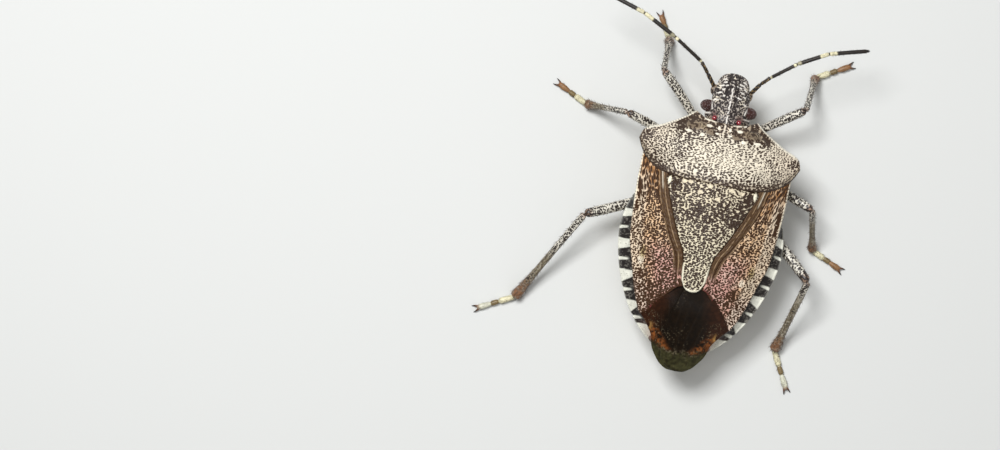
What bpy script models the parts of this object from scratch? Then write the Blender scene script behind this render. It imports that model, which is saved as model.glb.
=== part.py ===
# A shield bug at life size, standing on its six feet with both feelers spread.
# Every plate of the back, the head, the body and each part of each leg is a solid of its own.
# Numbers are millimetres and +Y is the way the bug faces. Its tail tip is at x 0, y 0 while it
# is modelled, and the empty at the end of the script sets it over the middle of its own box.

import math

import bmesh
import bpy
from mathutils import Vector

MM = 0.001
GAP = 0.3
SKIN = 0.5
RIM = 0.3
FLOOR = 0.0

# Stations along the body: how far from the tail tip, and the size there.
BACK_CREST = [(0, 2.9), (2, 3.7), (4, 4.4), (6, 4.95), (8, 5.35), (9.4, 5.5), (10.5, 5.5),
              (11.5, 5.2), (12.4, 4.75)]
BACK_RIM = [(0, 2.75), (0.8, 2.95), (2.5, 3.35), (4, 3.5), (6.5, 3.75), (8, 3.85), (9.9, 3.95),
            (10.93, 4.35), (11.8, 4.25), (12.8, 4.0)]
BACK_HALF_WIDTH = [(0, 0.9), (0.8, 1.4), (1.7, 1.95), (2.5, 2.3), (3.6, 2.78), (4.3, 3.0),
                   (5, 3.2), (6, 3.5), (7, 3.6), (8, 3.68), (9.9, 3.72), (10.93, 4.05),
                   (11.4, 3.9), (11.6, 3.5), (12.1, 2.5), (12.8, 1.55)]
BACK_ROUNDNESS = 2.2

# Seams of the back, each from the midline or the front outwards, on the right side.
PRONOTUM_FRONT = [(0, 12.42), (0.9, 12.5), (1.3, 12.68), (1.55, 12.82)]
PRONOTUM_SIDE = [(1.55, 12.82), (2.0, 12.45), (3.0, 11.85), (3.9, 11.4), (4.07, 10.95)]
PRONOTUM_REAR = [(0, 9.4), (1.2, 9.4), (2.6, 9.58), (3.3, 9.95), (3.75, 10.4), (4.07, 10.95)]
SCUTELLUM_SIDE = [(2.36, 9.5), (2.0, 8.5), (1.6, 7.5), (1.12, 6.5), (0.85, 6.0), (0.7, 5.5),
                  (0.64, 4.9), (0.6, 4.6), (0.42, 4.2)]
SCUTELLUM_BASE = [(0, 9.4), (1.2, 9.4), (2.36, 9.5)]
SCUTELLUM_TIP = [(0, 4.0), (0.25, 4.05), (0.42, 4.2)]
WING_SIDE = [(3.72, 10.36), (3.72, 9.2), (3.68, 8), (3.6, 7), (3.5, 6), (3.2, 5), (3.0, 4.3),
             (2.78, 3.6), (2.45, 2.8), (2.25, 2.45)]
WING_BASE = [(2.36, 9.5), (2.6, 9.58), (3.3, 9.95), (3.72, 10.36)]
WING_SUTURE = [(0.42, 4.2), (0.7, 4.12), (1.35, 3.45), (1.9, 2.8), (2.25, 2.45)]
MEMBRANE_FRONT = [(0, 4.0), (0.3, 4.05), (0.7, 4.1), (1.35, 3.45), (1.9, 2.8), (2.25, 2.45)]
MEMBRANE_SIDE = [(1.75, 1.55), (2.0, 1.95), (2.25, 2.45)]
MEMBRANE_REAR = [(0, 0), (0.3, 0.03), (0.65, 0.2), (1.1, 0.62), (1.5, 1.15), (1.75, 1.55)]
WINGS_MEET = [(0, 4.0), (0, 2.6), (0, 1.2), (0, 0)]

# Abdomen and thorax, under the wings.
SEGMENT_JOINTS = (8.1, 6.62, 5.08, 3.6, 2.3)
ABDOMEN_WIDEST = 6.5
ABDOMEN_HALF_WIDTH = 4.08
ABDOMEN_TAIL = 0.78
ABDOMEN_FRONT = 8.25
ABDOMEN_EDGE = [(0.8, 2.4), (2, 2.68), (4, 2.93), (6.5, 3.1), (8.3, 3.2)]
ABDOMEN_BELLY = [(0.8, 2.2), (2, 1.68), (4, 1.2), (6, 1.0), (7.4, 1.05), (8.3, 1.45)]
BELLY_ROUNDNESS = 1.7
THORAX_REAR = 8.55
THORAX_FRONT = 12.25
THORAX_HALF_WIDTH = [(8.5, 3.5), (10, 3.55), (10.9, 3.6), (11.4, 3.2), (11.8, 2.5), (12.3, 1.45)]
STERNUM = 1.85
STERNUM_HALF_WIDTH = 0.9

# Head.
HEAD_REAR = 12.66
HEAD_TIP = 15.0
HEAD_HALF_WIDTH = [(12.6, 0.97), (12.72, 0.97), (12.84, 0.68), (13.2, 0.64), (13.6, 0.68),
                   (13.72, 0.94), (13.85, 0.94), (14.0, 0.88), (14.2, 0.83), (14.5, 0.78),
                   (14.75, 0.66), (14.92, 0.45), (15.0, 0.22)]
HEAD_CREST = [(12.6, 4.68), (13.2, 4.5), (14.2, 4.05), (14.8, 3.7), (15, 3.52)]
HEAD_MARGIN = [(12.6, 3.85), (13.5, 3.75), (14.5, 3.55), (15, 3.42)]
HEAD_BELLY = [(12.6, 2.15), (13.5, 2.4), (14.2, 2.78), (14.8, 3.12), (15, 3.3)]
LOBE_GROOVE_DEPTH = 0.07
EYE_CENTRE = (0.98, 13.21, 3.78)
EYE_RADII = (0.46, 0.3, 0.36)
OCELLUS_CENTRE = (0.55, 12.85)
OCELLUS_RADIUS = 0.13
ANTENNIFER_CENTRE = (0.82, 14.0, 3.15)
ANTENNIFER_RADII = (0.24, 0.3, 0.22)
ROSTRUM_RADIUS = 0.25
ROSTRUM_ROUTE = [(0, 14.3, 2.3), (0, 13.6, 1.87), (0, 12.9, 1.5), (0, 11.8, 1.3), (0, 8.85, 1.3)]

# Feelers: the root, then the far end of each of the five segments.
ANTENNA_RADIUS = 0.25
ANTENNA_JOINTS = {
    "right": [(1.13, 14.47, 3.38), (1.28, 14.74, 3.5), (1.68, 15.14, 3.8), (2.8, 16.03, 4.3),
              (4.2, 16.82, 4.4), (6.17, 17.4, 4.1)],
    "left": [(-1.16, 14.45, 3.38), (-1.36, 14.72, 3.5), (-1.8, 15.22, 3.8), (-3.37, 16.13, 4.3),
             (-5.05, 16.96, 4.4), (-7.23, 17.63, 4.1)],
}

# Legs: the hip that each grows from, then knee, ankle and toe tip, and how far the middle of the
# femur bows away from a straight line.
HIPS = {"fore": (0.95, 11.98, 1.6), "mid": (1.05, 10.8, 1.6), "hind": (1.2, 9.15, 1.6)}
HIP_RADII = (0.38, 0.38, 0.5)
LEGS = {
    "fore_left": ((-3.5, 14.5, 2.9), (-3.4, 16.25, 0.46), (-4.08, 17.4, 0.22), (0, 0.1, 0)),
    "fore_right": ((3.8, 13.98, 3.0), (4.2, 15.85, 0.46), (5.85, 16.8, 0.22), (0, 0, 0)),
    "mid_left": ((-4.85, 12.1, 2.9), (-6.84, 12.2, 0.46), (-8.45, 12.95, 0.22), (0, 0.1, 0)),
    "mid_right": ((5.12, 9.2, 2.9), (5.8, 7.3, 0.46), (7.4, 6.6, 0.22), (0, 0, -0.1)),
    "hind_left": ((-5.88, 6.75, 2.5), (-8.45, 1.93, 0.46), (-10.2, 1.0, 0.22), (0, -0.1, -0.3)),
    "hind_right": ((5.6, 5.65, 3.1), (4.95, 1.98, 0.46), (5.95, 0.12, 0.22), (-0.1, 0.35, -0.45)),
}
FEMUR_RADII = [(0, 0.25), (0.15, 0.26), (0.6, 0.31), (0.9, 0.28), (1, 0.27)]
TIBIA_RADII = [(0, 0.25), (0.1, 0.25), (0.6, 0.25), (0.85, 0.29), (1, 0.3)]
TARSUS_RADII = [(0, 0.25), (0.38, 0.27), (0.46, 0.23), (0.52, 0.25), (0.6, 0.25), (0.66, 0.23),
                (0.85, 0.27), (1, 0.22)]
CLAW_LENGTH = 0.55
CLAW_RADIUS = 0.09
CLAW_SPREAD = math.radians(35)

COLOURS = {
    "back": (0.36, 0.26, 0.19, 1), "membrane": (0.06, 0.035, 0.025, 1),
    "body": (0.55, 0.42, 0.28, 1), "head": (0.24, 0.2, 0.18, 1), "eye": (0.12, 0.03, 0.03, 1),
    "leg": (0.4, 0.33, 0.26, 1), "foot": (0.7, 0.62, 0.45, 1), "feeler": (0.07, 0.05, 0.04, 1),
}


def smooth(stations, at):
    """Read a smooth curve through (place, value) stations, level beyond its ends."""
    if at <= stations[0][0]:
        return stations[0][1]
    if at >= stations[-1][0]:
        return stations[-1][1]
    last = len(stations) - 2
    k = next(i for i in range(last + 1) if at <= stations[i + 1][0])
    pitches = [(b[1] - a[1]) / (b[0] - a[0]) for a, b in zip(stations, stations[1:])]

    def slope(i):
        """Tangent at a station, level where the curve turns back."""
        if i == 0:
            return pitches[0]
        if i == last + 1:
            return pitches[last]
        before, after = pitches[i - 1], pitches[i]
        return 0.0 if before * after <= 0 else 2 * before * after / (before + after)

    span = stations[k + 1][0] - stations[k][0]
    t = (at - stations[k][0]) / span
    rise = (1 - t) ** 2 * (1 + 2 * t) * stations[k][1] + t * t * (3 - 2 * t) * stations[k + 1][1]
    return rise + span * t * (1 - t) * ((1 - t) * slope(k) - t * slope(k + 1))


def along(points, part):
    """Find the place that lies a given part of the way along a smooth curve through points."""
    marks = [0.0]
    for here, there in zip(points, points[1:]):
        marks.append(marks[-1] + math.dist(here, there))
    at = part * marks[-1]
    return tuple(smooth(list(zip(marks, values)), at) for values in zip(*points))


def back_height(x, y):
    """Height of the closed wings and pronotum over a place beside the midline."""
    crest = smooth(BACK_CREST, y)
    rim = smooth(BACK_RIM, y)
    across = min(1.0, abs(x) / smooth(BACK_HALF_WIDTH, y))
    return rim + (crest - rim) * (1 - across ** BACK_ROUNDNESS)


def plate_thickness(x, y):
    """A plate is SKIN thick and thins to RIM at the bug's side."""
    inside = smooth(BACK_HALF_WIDTH, y) - abs(x)
    return RIM + (SKIN - RIM) * max(0.0, min(1.0, inside / 0.6))


def under_back(x, y):
    """Height of what lies a gap below the plates of the back."""
    return back_height(x, y) - plate_thickness(x, y) - GAP


def across_midline(points):
    """Left to right along a line that is given from the midline outwards."""
    return [(-x, y) for x, y in reversed(points[1:])] + points


def on_left(points):
    """The same points on the bug's left side."""
    return [(-x, y) for x, y in points]


def material(finish):
    """One material of each finish, shared by the objects that have it."""
    made = bpy.data.materials.get(finish)
    if made:
        return made
    made = bpy.data.materials.new(finish)
    made.use_nodes = True
    shader = made.node_tree.nodes["Principled BSDF"]
    shader.inputs["Base Color"].default_value = COLOURS[finish]
    shader.inputs["Roughness"].default_value = 0.2 if finish == "eye" else 0.5
    return made


def make_object(name, points, faces, finish):
    """Make a closed solid in metres from points in millimetres, its faces turned outwards."""
    mesh = bpy.data.meshes.new(name)
    mesh.from_pydata([tuple(c * MM for c in p) for p in points], [], faces)
    shell = bmesh.new()
    shell.from_mesh(mesh)
    bmesh.ops.recalc_face_normals(shell, faces=shell.faces)
    if shell.calc_volume(signed=True) < 0:
        bmesh.ops.reverse_faces(shell, faces=shell.faces)
    shell.to_mesh(mesh)
    shell.free()
    mesh.materials.append(material(finish))
    mesh.shade_smooth()
    mesh.set_sharp_from_angle(angle=math.radians(40))
    made = bpy.data.objects.new(name, mesh)
    bpy.context.scene.collection.objects.link(made)
    return made


def fuse(base, pieces):
    """Join closed pieces to a solid in one union and keep its one outer surface."""
    group = bpy.data.collections.new(base.name + "_pieces")
    for piece in pieces:
        group.objects.link(piece)
    union = base.modifiers.new("fuse", "BOOLEAN")
    union.operation = "UNION"
    union.operand_type = "COLLECTION"
    union.collection = group
    union.solver = "EXACT"
    seen = base.evaluated_get(bpy.context.evaluated_depsgraph_get())
    joined = bpy.data.meshes.new_from_object(seen)
    base.modifiers.remove(union)
    base.data = joined
    for piece in pieces:
        bpy.data.objects.remove(piece)
    bpy.data.collections.remove(group)
    keep_largest_surface(joined)
    return base


def keep_largest_surface(mesh):
    """Drop every closed surface of a mesh but the one with the most faces."""
    shell = bmesh.new()
    shell.from_mesh(mesh)
    left = set(shell.faces)
    surfaces = []
    while left:
        surface = set()
        reach = [left.pop()]
        while reach:
            face = reach.pop()
            surface.add(face)
            for edge in face.edges:
                for other in edge.link_faces:
                    if other in left:
                        left.discard(other)
                        reach.append(other)
        surfaces.append(surface)
    surfaces.sort(key=len)
    for scrap in surfaces[:-1]:
        bmesh.ops.delete(shell, geom=list(scrap), context="FACES")
    shell.to_mesh(mesh)
    shell.free()


def loft(name, rings, finish):
    """Skin a row of rings that have equal numbers of points, and close both ends with a fan."""
    sides = len(rings[0])
    points = [p for ring in rings for p in ring]
    faces = []
    for r in range(len(rings) - 1):
        for s in range(sides):
            a, b = r * sides + s, r * sides + (s + 1) % sides
            faces += [(a, b, b + sides), (a, b + sides, a + sides)]
    for first in (0, (len(rings) - 1) * sides):
        ring = points[first:first + sides]
        points.append(tuple(sum(values) / sides for values in zip(*ring)))
        hub = len(points) - 1
        faces += [(hub, first + s, first + (s + 1) % sides) for s in range(sides)]
    return make_object(name, points, faces, finish)


def ball(name, centre, radii, finish, sides=10, rows=6, least_x=None):
    """An ellipsoid, cut flat at a lowest x where one is given."""
    rings = []
    for r in range(rows + 1):
        turn = math.pi * (0.06 + 0.88 * r / rows)
        ring = []
        for s in range(sides):
            around = 2 * math.pi * s / sides
            ring.append((math.cos(turn), math.sin(turn) * math.cos(around),
                         math.sin(turn) * math.sin(around)))
        rings.append(ring)
    placed = []
    for ring in rings:
        row = [tuple(c + r * p for c, r, p in zip(centre, radii, point)) for point in ring]
        if least_x is not None:
            row = [(max(x, least_x), y, z) for x, y, z in row]
        placed.append(row)
    return loft(name, placed, finish)


def shrink(sides, insets):
    """Move each side of a four-sided outline inwards by its inset and join them at new corners.

    The sides run anticlockwise, and each begins where the one before it ends.
    """
    moved = []
    for side, inset in zip(sides, insets):
        line = []
        for i, (x, y) in enumerate(side):
            ahead, behind = side[min(i + 1, len(side) - 1)], side[max(i - 1, 0)]
            run = math.dist(ahead, behind)
            line.append((x - inset * (ahead[1] - behind[1]) / run,
                         y + inset * (ahead[0] - behind[0]) / run))
        moved.append(line)
    for k in range(4):
        before, after = moved[k - 1], moved[k]
        corner = crossing(before[-2], before[-1], after[0], after[1])
        before[-1] = corner
        after[0] = corner
    return moved


def crossing(a, b, c, d):
    """Where the line through a and b meets the line through c and d."""
    ux, uy = b[0] - a[0], b[1] - a[1]
    vx, vy = d[0] - c[0], d[1] - c[1]
    t = ((c[0] - a[0]) * vy - (c[1] - a[1]) * vx) / (ux * vy - uy * vx)
    return a[0] + t * ux, a[1] + t * uy


def plate(name, sides, insets, across, rows, finish, relief=None, flip=False):
    """A plate of the back over a four-sided outline: rear, right, front and left side.

    across lists the parts of the width that its columns stand at, and relief raises its top.
    """
    rear, right, front, left = shrink(sides, insets)
    front, left = front[::-1], left[::-1]
    corners = rear[0], rear[-1], front[0], front[-1]
    tops, floors = [], []
    for r in range(rows + 1):
        v = r / rows
        for u in across:
            at = []
            for k in range(2):
                edges = ((1 - v) * along(rear, u)[k] + v * along(front, u)[k]
                         + (1 - u) * along(left, v)[k] + u * along(right, v)[k])
                twist = ((1 - u) * (1 - v) * corners[0][k] + u * (1 - v) * corners[1][k]
                         + (1 - u) * v * corners[2][k] + u * v * corners[3][k])
                at.append(edges - twist)
            x, y = at
            low = back_height(x, y) - plate_thickness(x, y)
            raised = relief(u, v, x, y) if relief else 0.0
            turned = -x if flip else x
            tops.append((turned, y, back_height(x, y) + raised))
            floors.append((turned, y, low))
    columns = len(across)
    under = len(tops)
    faces = []
    for r in range(rows):
        for c in range(columns - 1):
            a = r * columns + c
            b, d, e = a + 1, a + columns, a + columns + 1
            faces += [(a, b, e), (a, e, d)]
            faces += [(under + a, under + e, under + b), (under + a, under + d, under + e)]
    loop = list(range(columns))
    loop += [r * columns + columns - 1 for r in range(1, rows + 1)]
    loop += [rows * columns + c for c in range(columns - 2, -1, -1)]
    loop += [r * columns for r in range(rows - 1, 0, -1)]
    for a, b in zip(loop, loop[1:] + loop[:1]):
        faces += [(a, under + a, under + b), (a, under + b, b)]
    return make_object(name, tops + floors, faces, finish)


def even(columns):
    """Evenly spaced parts of a width."""
    return [c / columns for c in range(columns + 1)]


def ridged(lines, half):
    """Parts of a width with a column on each ridge line and one at each foot of it."""
    return sorted({0.0, 1.0, *(u + d for u in lines for d in (-half, 0.0, half))})


def ridge(u, lines, half, height):
    """Height of a sharp ridge along each of the lines."""
    return max(height * max(0.0, 1 - abs(u - line) / half) for line in lines)


def pronotum():
    """The wide shield behind the head, with two low swellings near its front."""
    outline = [across_midline(PRONOTUM_REAR), PRONOTUM_SIDE[::-1],
               across_midline(PRONOTUM_FRONT)[::-1], on_left(PRONOTUM_SIDE)]

    def relief(u, v, x, y):
        """The two smooth swellings and the raised side margins."""
        swelling = 0.1 * math.exp(-((abs(x) - 1.15) / 0.5) ** 2 - ((y - 12.0) / 0.3) ** 2)
        margin = 0.06 * v * max(0.0, 1 - min(u, 1 - u) / 0.06)
        return swelling + margin

    columns = sorted({*even(20), 0.025, 0.975})
    return plate("pronotum", outline, (GAP / 2, 0, GAP / 2, 0), columns, 9, "back", relief)


def scutellum():
    """The long triangle between the wings, with a rounded tip."""
    outline = [across_midline(SCUTELLUM_TIP), SCUTELLUM_SIDE[::-1],
               across_midline(SCUTELLUM_BASE)[::-1], on_left(SCUTELLUM_SIDE)]

    def relief(u, v, x, y):
        """It is a little rounder than the back as a whole."""
        return 0.12 * (1 - (2 * u - 1) ** 2)

    return plate("scutellum", outline, (GAP / 2,) * 4, even(10), 18, "back", relief)


def corium(side):
    """The leathery front part of a fore wing, with the ridges of its main veins."""
    outline = [WING_SUTURE, WING_SIDE[::-1], WING_BASE[::-1], SCUTELLUM_SIDE]
    lines = (0.16, 0.46, 0.78)
    half = 0.045

    def relief(u, v, x, y):
        """The ridge beside the scutellum and two long veins, which fade towards the suture."""
        return min(1.0, v / 0.2) * ridge(u, lines, half, 0.09)

    columns = sorted({*ridged(lines, half), 0.07, 0.31, 0.62, 0.9})
    return plate(f"corium_{side}", outline, (GAP / 2, 0, GAP / 2, GAP / 2), columns, 18, "back",
                 relief, flip=side == "left")


def membrane(side):
    """The thin rear part of a fore wing, with its long veins raised."""
    outline = [MEMBRANE_REAR, MEMBRANE_SIDE, MEMBRANE_FRONT[::-1], WINGS_MEET]
    lines = (0.2, 0.4, 0.6, 0.8)
    half = 0.05

    def relief(u, v, x, y):
        """Long veins that start behind the suture and end short of the rear edge."""
        return ridge(u, lines, half, 0.08) * min(1.0, (1 - v) / 0.1) * min(1.0, v / 0.15)

    columns = sorted({*ridged(lines, half), 0.1, 0.3, 0.5, 0.7, 0.9})
    return plate(f"membrane_{side}", outline, (0, 0, GAP / 2, GAP / 2), columns, 10, "membrane",
                 relief, flip=side == "left")


def abdomen_half_width(y):
    """Half the width of the abdomen, widest in front of its middle and round at the tail."""
    if y >= ABDOMEN_WIDEST:
        return ABDOMEN_HALF_WIDTH - 0.33 * min(1.0, (y - ABDOMEN_WIDEST) / 1.7) ** 2
    reach = (ABDOMEN_WIDEST - y) / (ABDOMEN_WIDEST - ABDOMEN_TAIL + 0.03)
    return ABDOMEN_HALF_WIDTH * math.sqrt(1 - reach ** 1.6)


def abdomen_ring(y, pinch):
    """Cross-section of the abdomen: roof under the wings, sharp side edges and a keeled belly."""
    half = abdomen_half_width(y) - pinch
    edge = smooth(ABDOMEN_EDGE, y)
    belly = smooth(ABDOMEN_BELLY, y) + pinch
    covered = smooth(BACK_HALF_WIDTH, y)
    ring = []
    for k in range(13):
        x = -half * math.cos(math.pi * k / 12)
        free = max(0.0, min(1.0, (abs(x) - covered) / max(half - covered, 0.1)))
        roof = under_back(min(abs(x), covered), y)
        ring.append((x, y, max(edge, roof + (edge - roof) * free)))
    low = edge - 0.22
    for k in range(13):
        x = half * math.cos(math.pi * k / 12)
        ring.append((x, y, low - (low - belly) * (1 - abs(x / half) ** BELLY_ROUNDNESS)))
    return ring


def abdomen():
    """The abdomen, with a groove at each segment joint and a banded flange along each side."""
    stations = [(0.84, 0.0), (1.0, 0.0), (1.3, 0.0), (1.75, 0.0)]
    joints = sorted(SEGMENT_JOINTS)
    for here, there in zip(joints, joints[1:]):
        stations += [(here - 0.1, 0.0), (here, 0.07), (here + 0.1, 0.0),
                     ((here + there) / 2, 0.0)]
    stations += [(joints[-1] - 0.1, 0.0), (ABDOMEN_FRONT, 0.0)]
    rings = [abdomen_ring(y, pinch) for y, pinch in stations]
    return loft("abdomen", rings, "body")


def thorax_ring(y):
    """Cross-section of the thorax: roof under the plates, sharp sides and a level sternum."""
    half = smooth(THORAX_HALF_WIDTH, y)
    ring = []
    for k in range(13):
        x = -half * math.cos(math.pi * k / 12)
        ring.append((x, y, under_back(x, y) - 0.03))
    low = under_back(half, y) - 0.25
    for k in range(13):
        x = half * math.cos(math.pi * k / 12)
        out = max(0.0, (abs(x) - STERNUM_HALF_WIDTH) / (half - STERNUM_HALF_WIDTH))
        ring.append((x, y, STERNUM + (low - STERNUM) * out ** 0.6))
    return ring


def thorax():
    """The thorax under the pronotum, with the six hips that carry the legs."""
    steps = 10
    places = [THORAX_REAR + (THORAX_FRONT - THORAX_REAR) * k / steps for k in range(steps + 1)]
    body = loft("thorax", [thorax_ring(y) for y in places], "body")
    hips = []
    for pair, (x, y, z) in HIPS.items():
        for sign in (-1, 1):
            hips.append(ball(f"hip_{pair}", (sign * x, y, z), HIP_RADII, "body"))
    return fuse(body, hips)


def head_ring(y):
    """Cross-section of the head, with the grooves beside its middle lobe."""
    half = smooth(HEAD_HALF_WIDTH, y)
    crest = smooth(HEAD_CREST, y)
    margin = smooth(HEAD_MARGIN, y)
    belly = smooth(HEAD_BELLY, y)
    ring = []
    for u in (-1, -0.9, -0.7, -0.48, -0.36, -0.22, 0, 0.22, 0.36, 0.48, 0.7, 0.9, 1):
        groove = LOBE_GROOVE_DEPTH if abs(u) == 0.36 and y > 13.6 else 0.0
        ring.append((half * u, y, margin + (crest - margin) * (1 - abs(u) ** 2.6) - groove))
    for u in (0.93, 0.72, 0.4, 0, -0.4, -0.72, -0.93):
        ring.append((half * u, y, margin - (margin - belly) * math.sqrt(1 - u * u)))
    return ring


def head():
    """The head with its two ocelli and the knobs that carry the feelers."""
    places = [HEAD_REAR, 12.74, 12.8, 12.88, 13.2, 13.56, 13.64, 13.7, 13.85, 14.0, 14.2, 14.45,
              14.65, 14.82, 14.94, HEAD_TIP]
    body = loft("head", [head_ring(y) for y in places], "head")
    knobs = []
    for sign in (-1, 1):
        x, y, z = ANTENNIFER_CENTRE
        knobs.append(ball("antennifer", (sign * x, y, z), ANTENNIFER_RADII, "head"))
        x, y = OCELLUS_CENTRE
        across = x / smooth(HEAD_HALF_WIDTH, y)
        margin = smooth(HEAD_MARGIN, y)
        z = margin + (smooth(HEAD_CREST, y) - margin) * (1 - across ** 2.6)
        knobs.append(ball("ocellus", (sign * x, y, z - 0.03), (OCELLUS_RADIUS,) * 3, "head", 8, 4))
    return fuse(body, knobs)


def eye(side):
    """A bulging eye in the notch at the side of the head."""
    made = ball(f"eye_{side}", EYE_CENTRE, EYE_RADII, "eye", 12, 8, least_x=EYE_CENTRE[0])
    if side == "left":
        mirror_mesh(made)
    return made


def mirror_mesh(made):
    """Turn a solid into its mirror image across the midline."""
    for point in made.data.vertices:
        point.co.x = -point.co.x
    made.data.flip_normals()


def tube(name, centres, radii, sides, finish, first_cut=None, last_cut=None, floor=None):
    """A round limb through its centres, each end cut square or along a plane (place, normal)."""
    centres = [Vector(c) for c in centres]
    rings = []
    up = Vector((0, 0, 1))
    for k, centre in enumerate(centres):
        ahead = (centres[min(k + 1, len(centres) - 1)] - centres[max(k - 1, 0)]).normalized()
        side = ahead.cross(up).normalized()
        top = side.cross(ahead)
        ring = []
        for s in range(sides):
            turn = 2 * math.pi * (s + 0.5) / sides
            point = centre + radii[k] * (math.cos(turn) * side + math.sin(turn) * top)
            cut = first_cut if k == 0 else last_cut if k == len(centres) - 1 else None
            if cut:
                point += ahead * ((cut[0] - point).dot(cut[1]) / ahead.dot(cut[1]))
            if floor is not None:
                point.z = max(point.z, floor)
            ring.append(tuple(point))
        rings.append(ring)
    return loft(name, rings, finish)


def joint_cut(before, at, after, shift):
    """The plane that halves the bend at a joint, moved along the limb to leave the gap."""
    middle = ((at - before).normalized() + (after - at).normalized()).normalized()
    return at + middle * shift, middle


def limb(name, start, end, radii, rings, finish, cuts, bow=(0, 0, 0), floor=None):
    """One straight or slightly bowed part of a leg, between two cut planes."""
    centres, sizes = [], []
    for part in rings:
        lift = 4 * part * (1 - part)
        centres.append(start.lerp(end, part) + lift * Vector(bow))
        sizes.append(smooth(radii, part))
    return tube(name, centres, sizes, 10, finish, cuts[0], cuts[1], floor)


def claws(end, heading):
    """The two hooked claws at the tip of a foot, rooted side by side in its last segment."""
    made = []
    level = Vector((heading.x, heading.y, 0)).normalized()
    beside = Vector((-level.y, level.x, 0))
    for sign in (-1, 1):
        way = level * math.cos(CLAW_SPREAD) + beside * sign * math.sin(CLAW_SPREAD)
        root = end - level * 0.15 + beside * sign * 0.11
        centres, sizes = [], []
        for part in (0.0, 0.3, 0.55, 0.8, 1.0):
            centres.append(root + way * part * CLAW_LENGTH - Vector((0, 0, 0.1 * part ** 2)))
            sizes.append(CLAW_RADIUS * (1 - 0.65 * part))
        made.append(tube("claw", centres, sizes, 6, "foot", floor=FLOOR + 0.01))
    return made


def leg(place, knee, ankle, toe, bow):
    """Femur, tibia and tarsus of one leg, from its hip to its claws."""
    pair, side = place.split("_")
    sign = -1 if side == "left" else 1
    x, y, z = HIPS[pair]
    hip, knee, ankle, toe = (Vector(p) for p in ((sign * x, y, z), knee, ankle, toe))
    middle = hip.lerp(knee, 0.5) + Vector(bow)
    heading = (middle - hip).normalized()
    start = hip + heading * (HIP_RADII[0] + GAP)
    knee_before = joint_cut(start, knee, ankle, -GAP / 2)
    knee_after = joint_cut(start, knee, ankle, GAP / 2)
    ankle_before = joint_cut(knee, ankle, toe, -GAP / 2)
    ankle_after = joint_cut(knee, ankle, toe, GAP / 2)
    limb(f"femur_{place}", start, knee, FEMUR_RADII, (0, 0.12, 0.3, 0.5, 0.7, 0.88, 1), "leg",
         (None, knee_before), bow)
    limb(f"tibia_{place}", knee, ankle, TIBIA_RADII, (0, 0.16, 0.35, 0.55, 0.75, 0.88, 1), "leg",
         (knee_after, ankle_before))
    centres, sizes = [], []
    for part, size in [(0, 0.25), (0.2, 0.26)] + TARSUS_RADII[1:]:
        spot = ankle.lerp(toe, part)
        spot.z = smooth([(0, ankle.z), (0.3, toe.z + 0.02), (1, toe.z)], part)
        centres.append(spot)
        sizes.append(size)
    foot = tube(f"tarsus_{place}", centres, sizes, 10, "foot", ankle_after, None, FLOOR)
    fuse(foot, claws(centres[-1], toe - ankle))


def antenna(side):
    """A feeler of five segments, nipped in at each joint."""
    joints = ANTENNA_JOINTS[side]
    centres, sizes = [], []
    for k, (here, there) in enumerate(zip(joints, joints[1:])):
        here, there = Vector(here), Vector(there)
        inner = (0.0, 0.5) if k < 2 else (0.0, 0.14, 0.5, 0.86)
        for part in inner:
            centres.append(here.lerp(there, part))
            sizes.append(ANTENNA_RADIUS * (0.85 if part == 0.0 and k else 1.0))
    centres.append(Vector(joints[-1]))
    sizes.append(ANTENNA_RADIUS * 0.5)
    return tube(f"antenna_{side}", centres, sizes, 8, "feeler")


def rostrum():
    """The sucking beak, folded back under the head and between the hips."""
    centres = [along(ROSTRUM_ROUTE, k / 10) for k in range(11)]
    sizes = [ROSTRUM_RADIUS] * 10 + [ROSTRUM_RADIUS * 0.6]
    return tube("rostrum", centres, sizes, 8, "leg")


def clear_scene():
    """Remove whatever the scene starts with."""
    for old in list(bpy.data.objects):
        bpy.data.objects.remove(old)


def stand_over_origin():
    """Hang every solid on one empty that puts the middle of the bug's box over the origin."""
    bpy.context.view_layer.update()
    solids = [o for o in bpy.context.scene.objects if o.type == "MESH"]
    places = [point.co for solid in solids for point in solid.data.vertices]
    bug = bpy.data.objects.new("bug", None)
    bpy.context.scene.collection.objects.link(bug)
    for k in range(2):
        bug.location[k] = -(min(p[k] for p in places) + max(p[k] for p in places)) / 2
    for solid in solids:
        solid.parent = bug
    bpy.context.view_layer.update()


clear_scene()
abdomen()
thorax()
head()
rostrum()
pronotum()
scutellum()
for bug_side in ("left", "right"):
    corium(bug_side)
    membrane(bug_side)
    eye(bug_side)
    antenna(bug_side)
for leg_place, leg_points in LEGS.items():
    leg(leg_place, *leg_points)
stand_over_origin()
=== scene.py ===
import math

import bpy
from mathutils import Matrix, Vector
import numpy as np


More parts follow.
